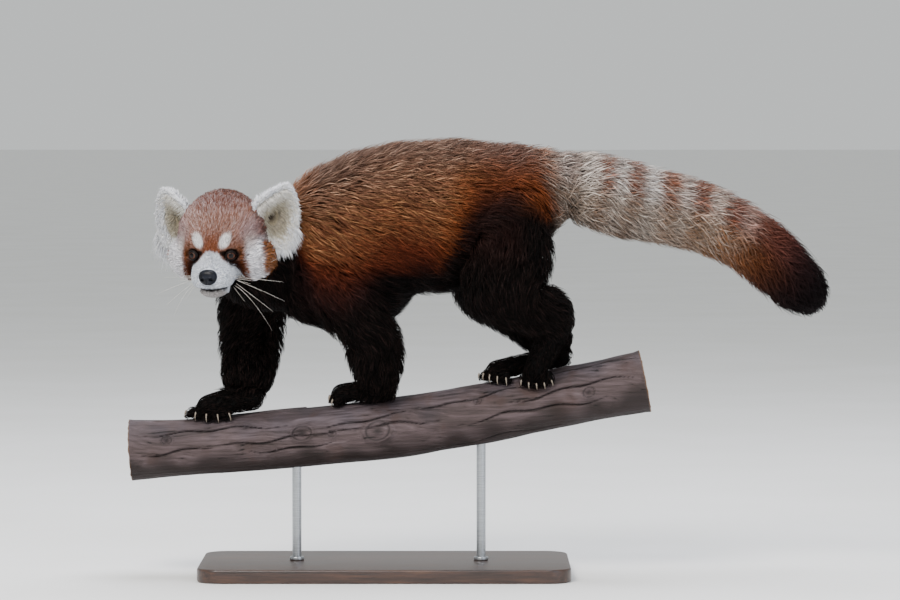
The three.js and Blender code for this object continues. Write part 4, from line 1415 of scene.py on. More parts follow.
@dataclass
class Coat:
    """The fur: thin flat tufts that leave the skin and lie along the body."""

    skin: Piece
    seed: int = 11

    def __post_init__(self) -> None:
        """Reads the skin."""
        self.rng = np.random.default_rng(self.seed)
        mesh = self.skin.data
        mesh.calc_loop_triangles()
        corners = np.empty(len(mesh.loop_triangles) * 3, np.int32)
        mesh.loop_triangles.foreach_get("vertices", corners)
        self.triangles = corners.reshape(-1, 3)
        self.points = points_of(self.skin)
        self.normals = normals_of(self.skin)
        self.tree = BVHTree.FromPolygons(self.points.tolist(), self.triangles.tolist())
        corners_at = self.points[self.triangles]
        cross = np.cross(corners_at[:, 1] - corners_at[:, 0], corners_at[:, 2] - corners_at[:, 0])
        self.areas = np.linalg.norm(cross, axis=1) / 2
        self.parts = self.part_of(corners_at.mean(axis=1))

    @staticmethod
    def gaps(p: Array) -> tuple[Array, Array]:
        """Returns how far points lie outside each limb, foot and the head, and their t there."""
        rows = [limb.near(p) for limb in LIMBS]
        q = HEAD.own(p)
        rows.append((HEAD.outside(q) + HEAD.coat_depth(q), np.zeros(len(p))))
        gaps = np.stack([row[0] for row in rows], axis=1)
        return gaps, np.stack([row[1] for row in rows], axis=1)

    def part_of(self, p: Array) -> Array:
        """Returns the number of the limb, foot or head that is nearest to each point."""
        gaps, _ = self.gaps(p)
        for k, foot in enumerate(FEET):
            column = len(BODY) + k
            tips = np.array([foot.toe(i)[1] for i in range(TOES)])
            reach = np.linalg.norm(p[:, None] - tips[None], axis=2).min(axis=1) - 12
            gaps[:, column] = np.minimum(gaps[:, column], reach)
        return gaps.argmin(axis=1)

    def sample(self, chosen: Array, count: int) -> tuple[Array, Array]:
        """Returns places spread evenly over the chosen triangles of the skin, with their normals."""
        index = np.flatnonzero(chosen)
        share = self.areas[index] / self.areas[index].sum()
        picked = self.triangles[index[self.rng.choice(len(index), count, p=share)]]
        u, v = self.rng.random(count), self.rng.random(count)
        flip = u + v > 1
        u[flip], v[flip] = 1 - u[flip], 1 - v[flip]
        weights = np.stack([1 - u - v, u, v], axis=1)[..., None]
        roots = (self.points[picked] * weights).sum(axis=1)
        return roots, unit((self.normals[picked] * weights).sum(axis=1))

    def lies(
        self, p: Array, n: Array, plan: CoatPlan, gaps: Array, t: Array
    ) -> Array:
        """Returns the way that the coat lies at each root.

        Args:
            p: The roots.
            n: The skin's normals there.
            plan: The part's plan.
            gaps: How far the roots lie outside each limb.
            t: Where they are along each limb.

        Returns:
            Directions along the skin.
        """
        weights = np.exp(-np.clip(gaps - gaps.min(axis=1, keepdims=True), 0, 60) / 7)
        total = np.zeros_like(p)
        for k, limb in enumerate(LIMBS):
            _, along, side, *_ = limb.frame(t[:, k])
            way = along * limb.lie
            if limb.part in (Part.TRUNK, Part.NECK, Part.TAIL):
                flank = np.abs((n * side).sum(axis=1))[:, None]
                front = 1 + 1.2 * ease(p[:, 0], -30, -90)[:, None]
                way = unit(way - UP * plan.sweep * flank * front)
            total += way * weights[:, k : k + 1]
        q = HEAD.own(p)
        away = unit(q - np.array((0.0, 66.0, -28.0)))
        away[:, 2] -= 0.25 * ease(np.abs(q[:, 0]), 20, 50)
        total += (away @ HEAD.axes.T) * weights[:, -1:]
        total += 0.2 * np.stack([ripple(p, 30, 21 + k) for k in range(3)], axis=1)
        total += self.rng.normal(size=p.shape) * 0.16
        return unit(total - n * (total * n).sum(axis=1, keepdims=True))

    def follow(self, p: Array, height: Array) -> Array:
        """Returns points moved to stand at a height over the nearest skin."""
        moved = p.copy()
        for i, (point, rise) in enumerate(zip(p, height)):
            spot, normal, _, distance = self.tree.find_nearest(Vector(point))
            way = Vector(point) - spot
            if way.dot(normal) < 0 or distance < 1e-3:
                way = normal
            moved[i] = spot + way.normalized() * float(rise)
        return moved

    def sizes(
        self, plan: CoatPlan, roots: Array, members: list[int], gaps: Array, t: Array
    ) -> tuple[Array, Array, Array]:
        """Returns the lengths, depths and half widths of a part's tufts."""
        count = len(roots)
        length, depth, width = np.full((3, count), ((plan.length,), (plan.depth,), (plan.width,)), float)
        if plan.part is Part.HEAD:
            q = HEAD.own(roots)
            depth = HEAD.coat_depth(q)
            length = 1.8 + 1.9 * depth
            width = 0.37 + 0.018 * depth
            flare = HEAD.flare(q) * self.rng.uniform(0.5, 1.0, count)
            depth, length, width = depth + flare, length + 1.1 * flare, width + 0.012 * flare
        elif plan.part is not Part.FOOT:
            nearest = np.array(members)[gaps[:, members].argmin(axis=1)]
            for k in members:
                mine = nearest == k
                left = LIMBS[k].thin(t[mine, k])
                depth[mine] *= left
                length[mine] *= 0.25 + 0.75 * left
            if plan.part is Part.TAIL:
                length *= 1 - 0.3 * ease(t[:, BODY.index(TAIL)], 0.85, 1.0)
        length = length * self.rng.normal(1, 0.16, count).clip(0.6, 1.4)
        depth = depth * self.rng.normal(0.95, 0.13, count).clip(0.55, 1.15)
        return length, depth, width * self.rng.normal(1, 0.2, count).clip(0.5, 1.6)

    def grow(self, plan: CoatPlan) -> tuple[Array, Array, Array]:
        """Returns a part's tufts: their points, widths and roots' normals."""
        members = [k for k, limb in enumerate(LIMBS) if limb.part is plan.part]
        members = members or [len(LIMBS)]
        count = plan.count // 1
        roots, normals = self.sample(np.isin(self.parts, members), count)
        if plan.part is Part.FOOT:
            roots, normals = self.above_branch(roots, normals)
        if plan.part is Part.HEAD:
            roots, normals = self.off_face(roots, normals)
        count = len(roots)
        gaps, t = self.gaps(roots)
        lie = self.lies(roots, normals, plan, gaps, t)
        side = np.cross(normals, lie)
        length, depth, width = self.sizes(plan, roots, members, gaps, t)
        bend = self.rng.normal(size=count) * plan.curl
        arch = self.rng.uniform(1.3, 2.3, count)
        lines = []
        for s in plan.stations:
            point = roots + lie * (length * s**1.1)[:, None] + side * (bend * length * s * s)[:, None]
            rise = depth * (1 - (1 - s) ** arch) - 0.6 * (s == 0)
            if s == 0 or (plan.stations is SHORT and s < 0.6):
                point = point + normals * rise[:, None]
            else:
                point = self.follow(point, rise)
            lines.append(point)
        return self.clump(np.stack(lines, axis=1), plan), width, normals

    def clump(self, lines: Array, plan: CoatPlan) -> Array:
        """Returns tufts whose tips lean together in locks."""
        count = len(lines)
        leaders = self.rng.choice(count, max(1, count // 7), replace=False)
        tree = KDTree(len(leaders))
        for i, k in enumerate(leaders):
            tree.insert(lines[k, 0], i)
        tree.balance()
        mine = np.array([leaders[tree.find(root)[1]] for root in lines[:, 0]])
        pull = (lines[mine] - lines) * np.array(plan.stations)[None, :, None] ** 1.5
        share = self.rng.uniform(0.1, 0.6, count)[:, None, None]
        return lines + pull * share * (0.8 if plan.part is Part.HEAD else 1.0)

    def above_branch(self, roots: Array, normals: Array) -> tuple[Array, Array]:
        """Returns the roots that are clear of the branch under the feet."""
        gap, _ = BRANCH.near(roots)
        keep = gap > 3.0
        return roots[keep], normals[keep]

    @staticmethod
    def off_face(roots: Array, normals: Array) -> tuple[Array, Array]:
        """Returns the roots that are clear of the eyes, the nose and the mouth."""
        q = HEAD.own(roots)
        a, y, z = np.abs(q[:, 0]), q[:, 1], q[:, 2]
        eye = (HEAD.from_eye(a, z, 1.15) < 8.6) & (y > 24)
        nose = np.linalg.norm((q - HEAD.nose) / (12.5, 12, 10.5), axis=1) < 1
        mouth = (HEAD.from_mouth(a, z) < 1.5) & (a < 19) & (y > 42)
        keep = ~(eye | nose | mouth)
        return roots[keep], normals[keep]

    @staticmethod
    def markings(part: Part, points: Array, tip: Array, fleck: Array) -> Array:
        """Returns the colours of points of a part's coat.

        Args:
            part: The part.
            points: The points.
            tip: How near each is to its tuft's tip, from 0 to 1.
            fleck: How pale each one's tuft is, from 0 to 1.

        Returns:
            Linear colours.
        """
        if part is Part.HEAD:
            return MARKINGS.head(HEAD.own(points), tip, fleck)
        body = MARKINGS.body(points, tip, fleck)
        if part not in (Part.TRUNK, Part.TAIL, Part.THIGH):
            return body
        gap, t = TAIL.near(points)
        centre, _, _, up, _ = TAIL.frame(t)
        t = t + np.where(t >= 1, gap / TAIL.length, 0)
        tail = MARKINGS.tail(points, tip, t, (unit(points - centre) * up).sum(axis=1), fleck)
        x, z = points[:, 0] + 4 * ripple(points, 15, 13), points[:, 2]
        begins = np.interp(z, (440, 470, 500, 530, 556, 575), (226, 224, 214, 208, 196, 190))
        share = ease(x - begins, -11, 11) * ease(z, 430, 445)
        if part is Part.TAIL:
            share = np.maximum(share, ease(x, 236, 248))
        return over(body, share, tail)

    def mesh(
        self, name: str, plan: CoatPlan, lines: Array, width: Array, normals: Array
    ) -> Piece:
        """Returns one piece of the coat from its tufts.

        Args:
            name: The piece's name.
            plan: Its part's plan.
            lines: The points along each tuft.
            width: Each tuft's half width.
            normals: The skin's normals at the roots.

        Returns:
            The piece, with its colours and its map.
        """
        count = len(lines)
        points, faces = tuft_shape(lines, width, normals)
        s = np.tile(per_point(plan.stations, np.array(plan.stations)), count)
        fleck = np.repeat(self.rng.random(count) ** 1.6, points.shape[1])
        shape = points.reshape(-1, 3)
        colour = self.markings(plan.part, shape, s, fleck).reshape(count, -1, 3)
        root_shade, spread = (0.72, 0.13) if plan.part is Part.HEAD else (0.22, 0.3)
        shade = root_shade + (1 - root_shade) * ease(s, 0.0, 0.7).reshape(count, -1, 1)
        tone = np.exp(self.rng.normal(0, spread, count))[:, None, None]
        piece = mesh_of(name, shape, faces)
        paint(piece, "coat_colour", (colour * shade * tone).reshape(-1, 3))
        self.unwrap(piece, lines[:, 0], faces, points.shape[1])
        return piece

    def unwrap(self, piece: Piece, roots: Array, faces: Array, size: int) -> None:
        """Gives each tuft a small patch at its root's place on an unwrap of the body."""
        gaps, t = self.gaps(roots)
        nearest = gaps.argmin(axis=1)
        place = np.zeros((len(roots), 2))
        used = sorted(set(nearest))
        for row, k in enumerate(used):
            mine = nearest == k
            if k < len(LIMBS):
                centre, _, side, up, _ = LIMBS[k].frame(t[mine, k])
                away = roots[mine] - centre
                angle = np.arctan2((away * up).sum(axis=1), (away * side).sum(axis=1))
                along = t[mine, k]
            else:
                q = unit(HEAD.own(roots[mine]))
                angle = np.arctan2(q[:, 2], q[:, 0])
                along = np.arccos(np.clip(q[:, 1], -1, 1)) / math.pi
            place[mine, 0] = 0.01 + 0.97 * (angle / (2 * math.pi) + 0.5)
            place[mine, 1] = (row + 0.04 + 0.9 * along) / len(used)
        spread_out(piece, place, faces, size)

    def build(self) -> list[Piece]:
        """Returns the coat's pieces, dressed."""
        material = FurFinish("coat_fur").make()
        made = []
        for plan in PLANS:
            lines, width, normals = self.grow(plan)
            order = np.argsort(lines[:, 0, 0], kind="stable")
            for i, part in enumerate(np.array_split(order, plan.pieces)):
                suffix = f"_{i + 1}" if plan.pieces > 1 else ""
                name = f"coat_{plan.part.value}{suffix}"
                piece = self.mesh(name, plan, lines[part], width[part], normals[part])
                made.append(dress(piece, material))
        return made

    def paint_skin(self) -> None:
        """Gives the skin the coat's markings, darker on the body as painted shade deep in the coat."""
        s = np.full(len(self.points), 0.4)
        plain = np.zeros(len(self.points))
        parts = self.part_of(self.points)
        # Painted shade: the body's skin, seen between the tufts, is darkened to about a third.
        body = self.markings(Part.TRUNK, self.points, s, plain) * 0.35
        head = len(LIMBS)
        face = self.markings(Part.HEAD, self.points, s, plain) * 0.95
        paint(self.skin, "coat_colour", np.where((parts == head)[:, None], face, body))


# Face


@dataclass
class Face:
    """The eyes, their lids, the nose and the whiskers."""

    eye_radius: float = 7.3
    eye_sunk: float = 4.2
    eye_axis: Place = (0.4, 0.91, 0.06)
    lid_wide: float = 6.2
    lid_tall: float = 5.5
    nose_size: Place = (12, 8, 10)

    def front(self, x: float, z: float) -> float:
        """Returns how far ahead the head's surface lies above a place on its face."""
        ahead = np.arange(110.0, 0.0, -0.25)
        line = np.stack([np.full_like(ahead, x), ahead, np.full_like(ahead, z)], axis=1)
        return float(ahead[np.argmax(HEAD.outside(line, chin=False) <= 0)])

    def eye_place(self, sign: int) -> tuple[Array, Array]:
        """Returns an eye's middle and the way that it looks, in the head's own frame."""
        axis = unit(np.array(self.eye_axis)) * (sign, 1, 1)
        surface = np.array((sign * HEAD.eye_x, self.front(HEAD.eye_x, HEAD.eye_z), HEAD.eye_z))
        return surface - axis * self.eye_sunk, axis

    def eye(self, sign: int, side: str) -> None:
        """Makes an eyeball with a slightly raised cornea."""
        centre, axis = self.eye_place(sign)
        piece, polar, angle = new_sphere(f"eyeball_{side}", 40, 28)
        across = unit(np.cross(axis, UP))
        up = np.cross(across, axis)
        bulge = self.eye_radius + 0.55 * mound(polar, 0.55)
        ring = np.sin(polar) * bulge
        middle = centre + axis * (np.cos(polar) * bulge)[:, None]
        points = off_line(middle, across, np.cos(angle) * ring, up, np.sin(angle) * ring)
        move_points(piece, HEAD.world(points))
        shell(piece)
        finish = EyeFinish(
            f"eye_{side}",
            tuple((HEAD.world(centre) * MM).tolist()),
            tuple((HEAD.axes @ axis).tolist()),
            self.eye_radius * MM,
        )
        dress(piece, finish.make(), (f"eye_{side}",))

    def lids(self, sign: int, side: str, material: Paint) -> None:
        """Makes the dark rim round an eye, with a heavier upper lid and a corner towards the nose."""
        centre, axis = self.eye_place(sign)
        deselect()
        bpy.ops.mesh.primitive_torus_add(
            major_segments=48, minor_segments=12, major_radius=1.0, minor_radius=0.25
        )
        piece = named(f"eyelids_{side}")
        raw = points_of(piece) * MM
        angle = np.arctan2(raw[:, 1], raw[:, 0])
        tube = np.stack([np.hypot(raw[:, 0], raw[:, 1]) - 1.0, raw[:, 2]], axis=1) / 0.25
        across = unit(np.cross(UP, axis)) * sign
        up = unit(np.cross(axis, across))
        up = up * np.sign(up[2])
        thick = 1.0 + 0.4 * np.clip(np.sin(angle), 0, 1)
        corner = 2.6 * mound(angle % (2 * math.pi) - math.pi * 1.05, 0.3)
        wide = self.lid_wide + corner + tube[:, 0] * thick
        tall = self.lid_tall + tube[:, 0] * thick
        x, z = np.cos(angle) * wide, np.sin(angle) * tall
        reach = np.hypot(x, z)
        dome = np.sqrt(np.clip((self.eye_radius + 0.9) ** 2 - np.minimum(reach, 8.2) ** 2, 0.2, None))
        ahead = dome - 0.25 * np.clip(reach - 8.0, 0, 9) + tube[:, 1] * thick * 0.6
        points = off_line(centre, across, x, up, z) + axis * ahead[:, None]
        move_points(piece, HEAD.world(points))
        shell(piece)
        dress(piece, material)

    def nose(self) -> None:
        """Makes the nose pad: broad above, narrow below, with its nostrils and groove."""
        piece, polar, angle = new_sphere("nose_pad", 96, 64)
        way = aheadwards(polar, angle)
        square = (np.abs(way) ** 2.5).sum(axis=1, keepdims=True) ** (-1 / 2.5)
        points = way * square * self.nose_size
        points[:, 0] *= 1 - 0.16 * ease(way[:, 2], 0.1, -1.0)
        x, z = np.abs(points[:, 0]), points[:, 2]
        ahead = ease(points[:, 1], -1, 3)
        hole = np.hypot((x - 5.4) / 2.3, (z + 1.6) / 1.9)
        slit = np.hypot((x - 7.8) / 2.6, (z + 3.2) / 1.0)
        pit = 3.6 * ease(hole, 1.15, 0.55) + 2.2 * ease(slit, 1.2, 0.5)
        groove = 0.9 * ease(x, 1.0, 0.2) * ease(z, 1, -2)
        wing = 0.5 * mound(hole - 1.5, 0.4)
        points[:, 1] += ahead * (wing - pit - groove)
        move_points(piece, HEAD.world(points + np.array(HEAD.nose)))
        shell(piece)
        dress(piece, NoseFinish().make(), ("nose",))

    def whiskers(self) -> None:
        """Makes the whiskers of the muzzle, the brows and the cheeks as one piece."""
        rng = np.random.default_rng(31)
        plans = [
            # x, y, z of the root, then the way it leaves, its length and its droop.
            (28, 49, -35, (0.97, 0.20, 0.04), 17, 0.02),
            (29, 48, -38, (0.98, 0.18, -0.03), 20, 0.02),
            (30, 46, -41, (0.97, 0.12, -0.12), 22, 0.05),
            (31, 42, -38, (0.99, 0.00, -0.02), 58, 0.04),
            (31, 44, -42, (0.92, 0.15, -0.28), 64, 0.08),
            (29, 46, -45, (0.80, 0.10, -0.56), 60, 0.06),
            (27, 47, -47, (0.70, 0.15, -0.40), 54, 0.60),
            (26, 48, -49, (0.60, 0.20, -0.75), 24, 0.10),
            (22, 38, 22, (0.45, 0.45, 0.75), 22, -0.05),
            (54, 16, -30, (0.85, 0.1, 0.45), 28, 0.0),
        ]
        rings, sides = 14, 4
        turns = np.arange(sides) * 2 * math.pi / sides
        points, faces = [], []
        for sign in (1, -1):
            for x, y, z, way, length, droop in plans:
                root = np.array((sign * x, y - 5, z), float)
                aim = unit(np.array(way) * (sign, 1, 1) + rng.normal(size=3) * 0.05)
                start = len(points)
                length = length * rng.uniform(0.85, 1.1) * (0.75 if sign > 0 else 1.0)
                across = unit(np.cross(aim, UP))
                rise = np.cross(across, aim)
                for s in np.linspace(0, 1, rings):
                    middle = root + length * (aim * s - (0, 0.1 * s * s, droop * s * s))
                    half = 0.15 * (1 - s) ** 0.5 + 0.05
                    ring = off_line(middle, across, np.cos(turns) * half, rise, np.sin(turns) * half)
                    points += list(ring)
                for i in range(rings - 1):
                    for j in range(sides):
                        a, b = start + i * sides + j, start + i * sides + (j + 1) % sides
                        faces += [(a, b, b + sides), (a, b + sides, a + sides)]
                last = start + (rings - 1) * sides
                faces += [(start, start + 2, start + 1), (start, start + 3, start + 2)]
                faces += [(last, last + 1, last + 2), (last, last + 2, last + 3)]
        piece = mesh_of("whiskers", HEAD.world(np.array(points)), np.array(faces))
        outward(piece)
        dress(piece, WHISKER_HAIR.make())

    def build(self) -> None:
        """Makes the whole face."""
        lid_skin = LID_SKIN.make()
        for sign, side in ((1, "right"), (-1, "left")):
            self.eye(sign, side)
            self.lids(sign, side, lid_skin)
        self.nose()
        self.whiskers()


# Ears


@dataclass
class Ears:
    """Both ears: a cupped leaf each, with dense white hair round the rim and long hair inside."""

    rim: tuple[Place, ...] = (
        (46, -3, 47), (60, -13, 60), (72, -21, 67), (82, -27, 69), (90, -31, 58), (94, -31, 40),
        (94, -28, 21), (90, -24, 3), (80, -17, -9), (62, -6, -4), (48, 0, 20),
    )
    hub: Place = (64, -12, 33)
    facing: Place = (0.5, 0.85, 0.1)
    cup: float = 12.0
    thick: float = 3.0
    inset: float = 0.9
    droop: float = 6.0

    def __post_init__(self) -> None:
        """Works out the rim's line."""
        places = np.linspace(0, 1, 24 * len(self.rim), endpoint=False)
        self.fine = Spline(np.array(self.rim, float), ring=True).at(places)
        self.axis = unit(np.array(self.facing))

    def point(
        self, sign: int, u: Array, r: float | Array, d: float | Array = 0.0
    ) -> Array:
        """Returns points of an ear in the head's own frame.

        Args:
            sign: 1 for the right ear, -1 for the left.
            u: How far round the rim, from 0 to 1.
            r: How far from the hub to the rim.
            d: How deep under its face.

        Returns:
            The points.
        """
        place = (np.asarray(u) % 1.0) * len(self.fine)
        i = place.astype(int) % len(self.fine)
        w = (place - place.astype(int))[..., None]
        rim = self.fine[i] * (1 - w) + self.fine[(i + 1) % len(self.fine)] * w
        r = np.asarray(r, float)[..., None]
        sunk = self.cup * (1 - r * r) + np.asarray(d, float)[..., None]
        made = np.array(self.hub) * (1 - r) + rim * r - self.axis * sunk
        if sign > 0:
            made[..., 2] -= self.droop * np.clip(made[..., 2] / 70, 0, 1)
        made[..., 0] *= sign
        return made

    def leaf(self, sign: int, side: str, material: Paint) -> None:
        """Makes an ear's leaf, and paints it white inside, darkening towards the hub as painted shade, and
        dark behind.
        """
        piece, polar, angle = new_sphere(f"ear_leaf_{side}", 64, 40)
        u = angle / (2 * math.pi)
        r = np.sin(polar) * self.inset
        back = np.cos(polar) < 0
        d = np.where(back, self.thick * np.abs(np.cos(polar)) + 0.6, -0.6)
        q = self.point(sign, u, r, d)
        move_points(piece, HEAD.world(q))
        shell(piece)
        # Painted shade darkens the inside towards the hub.
        paint(piece, "coat_colour", np.where(back[:, None], tint("4a2418"), run(r, EAR_SKIN)))
        dress(piece, material)

    def hair(self, sign: int, seed: int) -> tuple[Array, Array, Array, Array]:
        """Returns an ear's tufts: their points, widths, normals and colours, in the head's own frame."""
        rng = np.random.default_rng(seed)
        rows = []
        face = self.axis * (sign, 1, 1)

        def lay(
            u: Array, r: Array, d: float, way: Array, later: Array, length: float,
            code: Array, width: float,
        ) -> None:
            """Adds tufts that leave the ear at u and r by way, and turn later."""
            count = len(u)
            root = self.point(sign, u, r, d)
            first = unit(way + rng.normal(size=way.shape) * 0.14)
            second = unit(first + later)
            size = (length * rng.uniform(0.6, 1.25, count))[:, None]
            middle = root + first * size * 0.5
            line = np.stack([root, middle, middle + second * size * 0.5], axis=1)
            tone = code * np.exp(rng.normal(0, 0.1, (count, 1)))
            rows.append((line, np.full(count, width), np.tile(face, (count, 1)), np.clip(tone, 0, 0.95)))

        def outwards(u: Array) -> Array:
            """Returns the way out of the rim in the ear's own face at u."""
            return unit(self.point(sign, u, 1.0) - self.point(sign, u, 0.6))

        def onwards(u: Array) -> Array:
            """Returns the way round the rim at u, up the inner edge and down the outer."""
            return unit(self.point(sign, u + 0.02, 1.0) - self.point(sign, u - 0.02, 1.0))

        white = tint("f0f2f8")
        quick = 1
        # Dense hair all round the rim, which runs down the outer edge.
        n = 3600 // quick
        u = rng.random(n)
        hang = (ease(u, 0.22, 0.36) * ease(u, 0.86, 0.74))[:, None]
        way = outwards(u) * (0.6 - 0.2 * hang) + onwards(u) * (0.5 + 0.35 * hang)
        way += face * rng.uniform(-0.3, 0.5, (n, 1))
        r, later = rng.uniform(0.7, 0.98, n), onwards(u) * 0.3 * hang
        lay(u, r, rng.uniform(-1.5, 2), way, later, 8.5, white, 0.5)
        # Hair over the inside, from the inner edge across the cup and out of it, darker towards the hub as
        # painted shade.
        n = 2300 // quick
        u = rng.random(n)
        r = rng.uniform(0.3, 0.9, n)
        across = unit(self.point(sign, 0.55, 1.0) - self.point(sign, 0.05, 1.0))
        way = across * 0.7 - UP * 0.5 + face * rng.uniform(0.1, 0.6, (n, 1)) + outwards(u) * 0.3
        lay(u, r, -0.5, way, across * 0.2, 12, run(r + rng.normal(0, 0.06, n), EAR_LINING), 0.5)
        # Short dark reddish hair behind.
        n = 1500 // quick
        u, r = rng.random(n), np.sqrt(rng.random(n)) * 0.92
        edge = ease(r, 0.66, 0.8)[:, None]
        tone = tint("34170f") * (1 - edge) + white * edge
        lay(u, r, self.thick, outwards(u) - face * 0.45, face * 0, 9, tone, 0.65)
        # The beard of long white hair that hangs from the lower end.
        n = 900 // quick
        u = rng.uniform(0.56, 0.82, n)
        spread = 0.35 if sign > 0 else 0.75
        way = outwards(u) * spread - UP * 0.9 + face * rng.uniform(-0.1, 0.35, (n, 1))
        lay(u, rng.uniform(0.6, 0.95, n), 0.5, way, -UP * 0.2, 32 if sign > 0 else 19, white, 0.5)
        return tuple(np.concatenate([row[k] for row in rows]) for k in range(4))

    def coat(self, sign: int, side: str, material: Paint) -> None:
        """Makes an ear's hair as one piece that stands for the ear's solid."""
        lines, width, normals, tone = self.hair(sign, 41 + sign)
        lines = HEAD.world(lines.reshape(-1, 3)).reshape(lines.shape)
        normals = normals @ HEAD.axes.T
        count = len(lines)
        points, faces = tuft_shape(lines, width, normals)
        piece = mesh_of(f"ear_hair_{side}", points.reshape(-1, 3), faces)
        s = np.tile(per_point(SHORT, np.array(SHORT)), count)
        # Painted shade darkens each tuft towards its root.
        colour = np.repeat(tone, points.shape[1], axis=0) * (0.72 + 0.28 * ease(s, 0, 0.6))[:, None]
        paint(piece, "coat_colour", colour)
        q = HEAD.own(lines[:, 0])
        span = q.max(axis=0) - q.min(axis=0)
        place = (q - q.min(axis=0)) / span * 0.96 + 0.01
        place = np.stack([(place[:, 0] + place[:, 1]) / 2, place[:, 2]], axis=1)
        spread_out(piece, place, faces, points.shape[1])
        dress(piece, material, (f"ear_{side}",))

    def build(self) -> None:
        """Makes both ears."""
        hide = HideFinish("ear_hide").make()
        hair = FurFinish("ear_fur", sheen=0.2).make()
        for sign, side in ((1, "right"), (-1, "left")):
            self.leaf(sign, side, hide)
            self.coat(sign, side, hair)


# Claws


@dataclass
class Claws:
    """The claws: hooked, flattened from side to side and pointed."""

    radius: float = 1.7
    above: float = 0.9
    start: float = 22.0
    stop: float = 122.0
    back: float = 1.6
    flat: float = 0.62
    sides: int = 12

    def claw(self, foot: Foot, i: int, material: Paint) -> None:
        """Makes one claw at the end of a toe."""
        root, tip = foot.toe(i)
        ahead = unit(tip - root)
        offset = (i - (TOES - 1) / 2) * foot.spread
        out = tip - foot.beside(foot.toes_start + foot.toe_length, offset, -BRANCH_RADIUS)
        out = unit(out - ahead * (out @ ahead))
        side = np.cross(ahead, out)
        piece, polar, angle = new_sphere(f"claw_horn_{foot.name}_{i + 1}", self.sides, self.sides)
        s = 1 - polar / math.pi
        turn = np.radians(self.start + (self.stop - self.start) * s)
        reach = foot.toe_radius + self.above
        line = off_line(tip, ahead, reach * np.sin(turn) - self.back, out, reach * np.cos(turn))
        radius = self.radius * (1 - s**1.5) * np.minimum(1, 3.5 * np.sqrt(s + 1e-9))
        points = off_line(line, side, np.cos(angle) * radius * self.flat, out, np.sin(angle) * radius)
        move_points(piece, points)
        shell(piece)
        dress(piece, material, (f"claw_{foot.name}_{i + 1}",))

    def build(self) -> None:
        """Makes every claw."""
        horn = CLAW_HORN.make()
        for foot in FEET:
            for i in range(TOES):
                self.claw(foot, i, horn)


# Perch and stand


